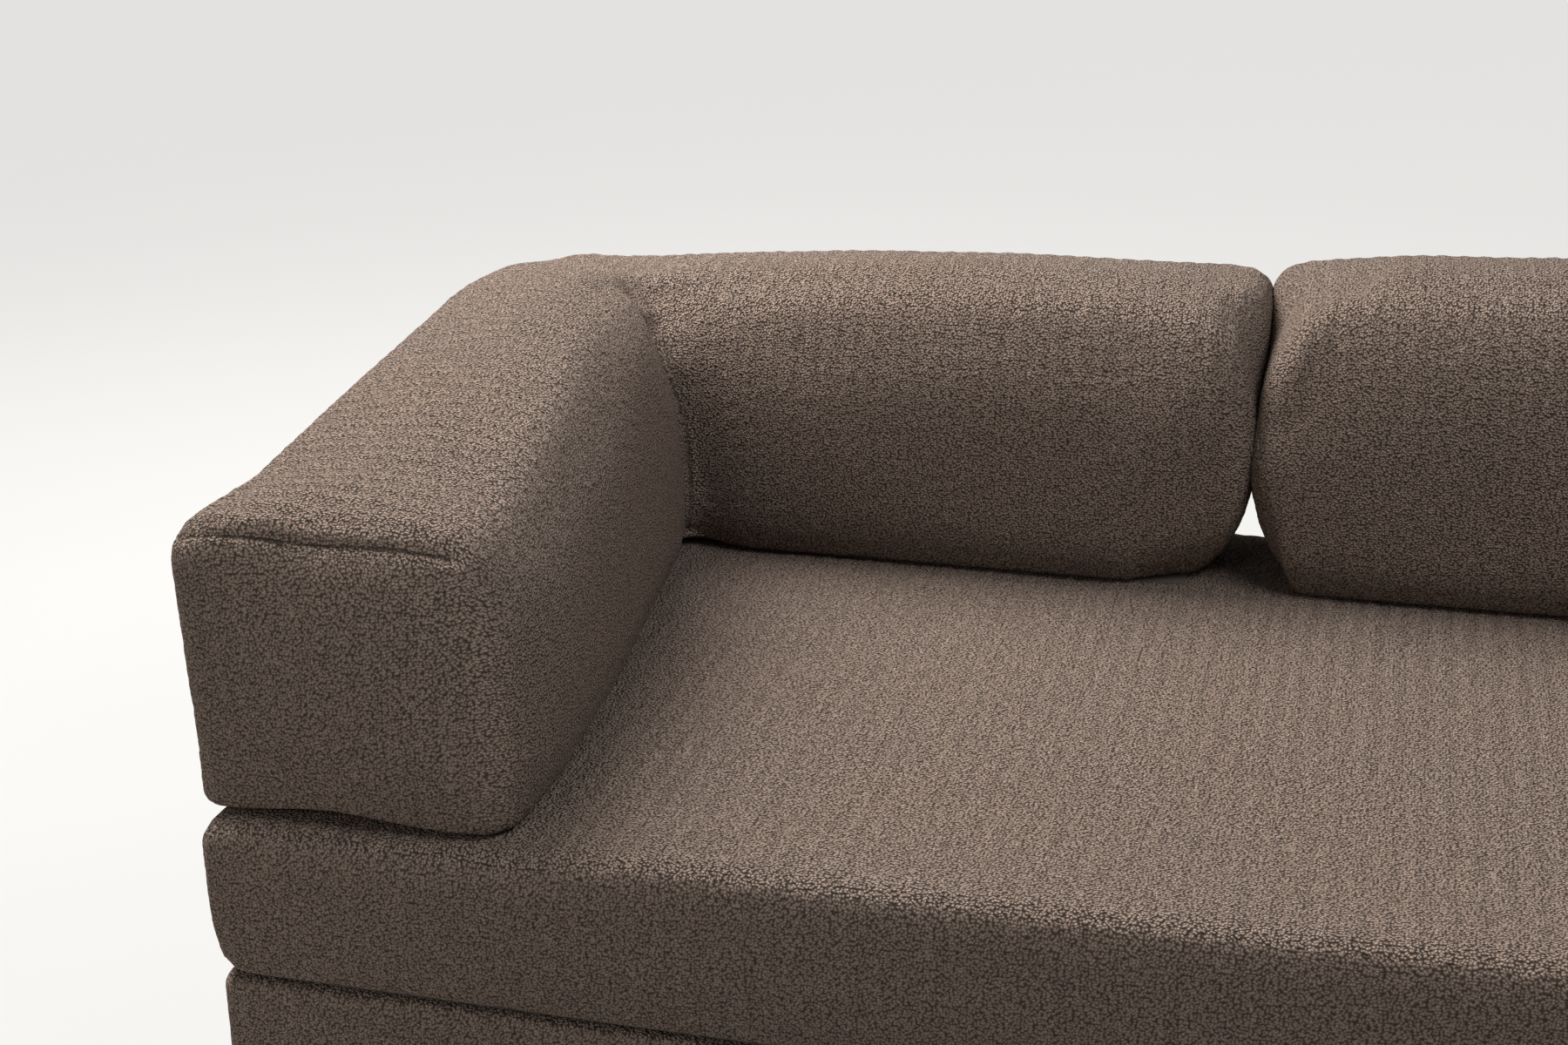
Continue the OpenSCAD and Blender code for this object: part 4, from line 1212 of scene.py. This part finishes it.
def placket(cushion, x0, x1, height, depth, lean):
    """Draws the cushion's rear side flat to where its zip is sewn in."""
    at = points_of(cushion)
    reach = np.maximum.reduce([np.abs(at[:, 2] - height) - tape_wide / 2, x0 - at[:, 0], at[:, 0] - x1])
    part = np.where(at[:, 1] > depth - 0.05, smooth(1 - reach / placket_soft), 0.0)
    face = depth + (at[:, 2] - height) * math.tan(lean) - placket_in
    at[:, 1] = mixed(at[:, 1], face, part)
    put_points(cushion, at)


slider_length = 0.013
slider_gap = 0.0003
slider_round = 0.00035
bridge_start = 0.004
bridge_end = 0.009
bridge_half = 0.0012
bridge_high = 0.0009
tab_wide = 0.007
tab_long = 0.024
tab_window = 0.009
tab_rim = 0.002
# Each cushion with its body, its name in the CAD, its two ends and where its zip lies
for cushion, body, node, x0, x1, pose in (
        (seat_slab, "seat", "seat", slab_left, slab_right, zip_pose(0.120, 5, slab_low, slab_back)),
        (corner_bolster, "corner_bolster", "corner", arm_left, corner_end,
         zip_pose(0.300, 2, stand_on, back_rear)),
        (back_bolster, "back_bolster", "back", bolster_left, bolster_right,
         zip_pose(0.336, 2, stand_on, back_rear))):
    zip_left = x0 + zip_set
    zip_length = x1 - x0 - 2 * zip_set
    placket(cushion, zip_left - placket_wide, zip_left + zip_length + placket_wide, *pose)
    stop_half = chain_wide / 2 + slider_wall
    tape_boxes = [((0, 0, side * placket_in), (zip_length, tape_thick, side * tape_wide / 2))
                  for side in (-1, 1)]
    stop_boxes = [((x, tape_thick, -stop_half), (x + slider_wall, tape_thick + chain_thick, stop_half))
                  for x in (0, zip_length - slider_wall)]
    zip_piece = closed_object(node + "_zip_chain", *box_parts(tape_boxes + stop_boxes))
    zip_piece.data.materials.append(tape_paint)
    zip_piece.data.materials.append(metal_paint.material)
    for number, face in enumerate(zip_piece.data.polygons):
        face.material_index = 0 if number < 6 * len(tape_boxes) else 1
    teeth = int((zip_length - 2 * slider_wall - teeth_room) / tooth_pitch)
    run_nodes(zip_piece, teeth_group, {"Tooth": tooth, "Count": teeth, "Pitch": tooth_pitch,
                                       "Paint": coil_paint.material})
    set_in(zip_piece, zip_left, *pose, zip_out)
    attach(zip_piece, body)
    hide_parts(node + "_zip")

    pocket = chain_wide / 2 + slider_gap
    wide = pocket + slider_wall
    deep = chain_thick + slider_wall
    body_boxes = [((0, chain_thick, -wide), (slider_length, deep, wide)),
                  ((0, 0, -wide), (slider_length, chain_thick, -pocket)),
                  ((0, 0, pocket), (slider_length, chain_thick, wide)),
                  ((bridge_start, deep, -bridge_half), (bridge_end, deep + bridge_high, bridge_half))]
    left = (slider_length - tab_wide) / 2
    right = left + tab_wide
    outer = deep + slider_wall
    tab_boxes = [((left, deep, wide - tab_long), (right, outer, wide - tab_window)),
                 ((left, deep, wide - tab_window), (left + tab_rim, outer, wide)),
                 ((right - tab_rim, deep, wide - tab_window), (right, outer, wide)),
                 ((left, deep, wide - tab_rim), (right, outer, wide))]
    slider = closed_object(node + "_zip_pull", *box_parts(body_boxes + tab_boxes))
    bevelled(slider, slider_round, 2)
    slider.data.materials.append(metal_paint.material)
    slider.data.transform(Matrix.Translation((slider_wall + slider_gap, tape_thick + slider_gap, 0)))
    set_in(slider, zip_left, *pose, zip_out)
    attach(slider, node + "_slider")
    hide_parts(node + "_zip_slider")
bpy.data.objects.remove(tooth)


# The grip strips: black hook tape on the base's border and loop tape under the slab, which
# meet and keep the slab from sliding. Hooks stand in rows.
grip_paint = Paint("grip_strip")
grip_place = grip_paint.coords()
hooks = grip_paint.node("ShaderNodeTexVoronoi", {"feature": "F1"},
                        {"Vector": grip_place, "Scale": 900.0, "Randomness": 0.3})
grip_hue = grip_paint.blend_colour((hooks.of("Distance") * 1.4).held(), to_linear(52, 52, 54),
                                   to_linear(16, 16, 17))
grip_raised = grip_paint.bump(1 - hooks.of("Distance"), 0.0009, 0.9)
grip_paint.surface({"Base Color": grip_hue, "Roughness": 0.7, "Normal": grip_raised})


def painted(paint, *names):
    """Gives CAD nodes their finish."""
    for name in names:
        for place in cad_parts[name].material_slots:
            place.material = paint.material


painted(grip_paint, "deck_grips", "seat_grips")


# The timber box: rails, cross rails and blocks of planed spruce, screwed together. The
# grain runs along the sofa, as on its two long rails.
timber_paint = Paint("timber")
timber_place = timber_paint.coords()
timber_split = timber_paint.node("ShaderNodeSeparateXYZ", {}, {0: timber_place})
stretched = timber_paint.node("ShaderNodeVectorMath", {"operation": "MULTIPLY"},
                              {0: timber_place, 1: (0.06, 0.5, 1.0)})
drift = timber_paint.noise(stretched, 14.0, 3.0, 0.6)
rings = (timber_split.of("Z") * 420 + timber_split.of("Y") * 60 + drift * 26).wave() * 0.5 + 0.5
pores = timber_paint.noise(stretched, 420.0, 2.0, 0.6)
timber_factor = (rings * 0.55 + pores * 0.35 + (drift - 0.5) * 0.3).held()
timber_hue = timber_paint.blend_colour(timber_factor, to_linear(216, 184, 138), to_linear(176, 134, 86))
timber_raised = timber_paint.bump(rings * 0.4 + pores * 0.6, 0.0004, 0.5)
timber_paint.surface({"Base Color": timber_hue, "Roughness": pores * 0.2 + 0.55, "Normal": timber_raised})
painted(timber_paint, "front_rail", "back_rail", "left_rail", "right_rail", "cross_rails", "leg_blocks")


# The screws: long ones through the rails into the blocks, and a short one up through each
# glide. All are zinc-plated steel, a little duller in some places.
steel_paint = worn_metal("screw_steel", 260.0, to_linear(150, 150, 144), to_linear(196, 194, 186),
                         1.0, 0.35, 0.22, 0.4)
painted(steel_paint, "frame_screws", "glide_screws")


# The webbing: elastic straps, black with woven ribs along them, stapled to the rails from
# front to back, with four more from end to end.
webbing_paint = Paint("elastic_webbing")
webbing_place = webbing_paint.coords()
webbing_split = webbing_paint.node("ShaderNodeSeparateXYZ", {}, {0: webbing_place})
cords = (webbing_split.of("X") * 1400).wave() * 0.5 + (webbing_split.of("Y") * 2100).wave() * 0.5
strap_wear = webbing_paint.noise(webbing_place, 30.0, 3.0)
webbing_hue = webbing_paint.blend_colour((cords * 0.3 + strap_wear).held(), to_linear(24, 24, 26),
                                         to_linear(62, 62, 66))
webbing_paint.surface({"Base Color": webbing_hue, "Roughness": 0.8,
                       "Normal": webbing_paint.bump(cords, 0.0004, 0.6)})
painted(webbing_paint, "webbing", "webbing_stays")


# The glides: six pucks of black polyamide with a chamfered foot, one screwed up under each
# block, and a little scuffed.
glide_paint = Paint("black_plastic")
scuffs = glide_paint.noise(glide_paint.coords(), 160.0, 4.0, 0.7)
glide_hue = glide_paint.blend_colour((scuffs * 1.6 - 0.5).held(), to_linear(22, 22, 23),
                                     to_linear(46, 46, 47))
glide_paint.surface({"Base Color": glide_hue, "Roughness": scuffs * 0.3 + 0.35,
                     "Normal": glide_paint.bump(scuffs, 0.0002, 0.5)})
painted(glide_paint, "glides")
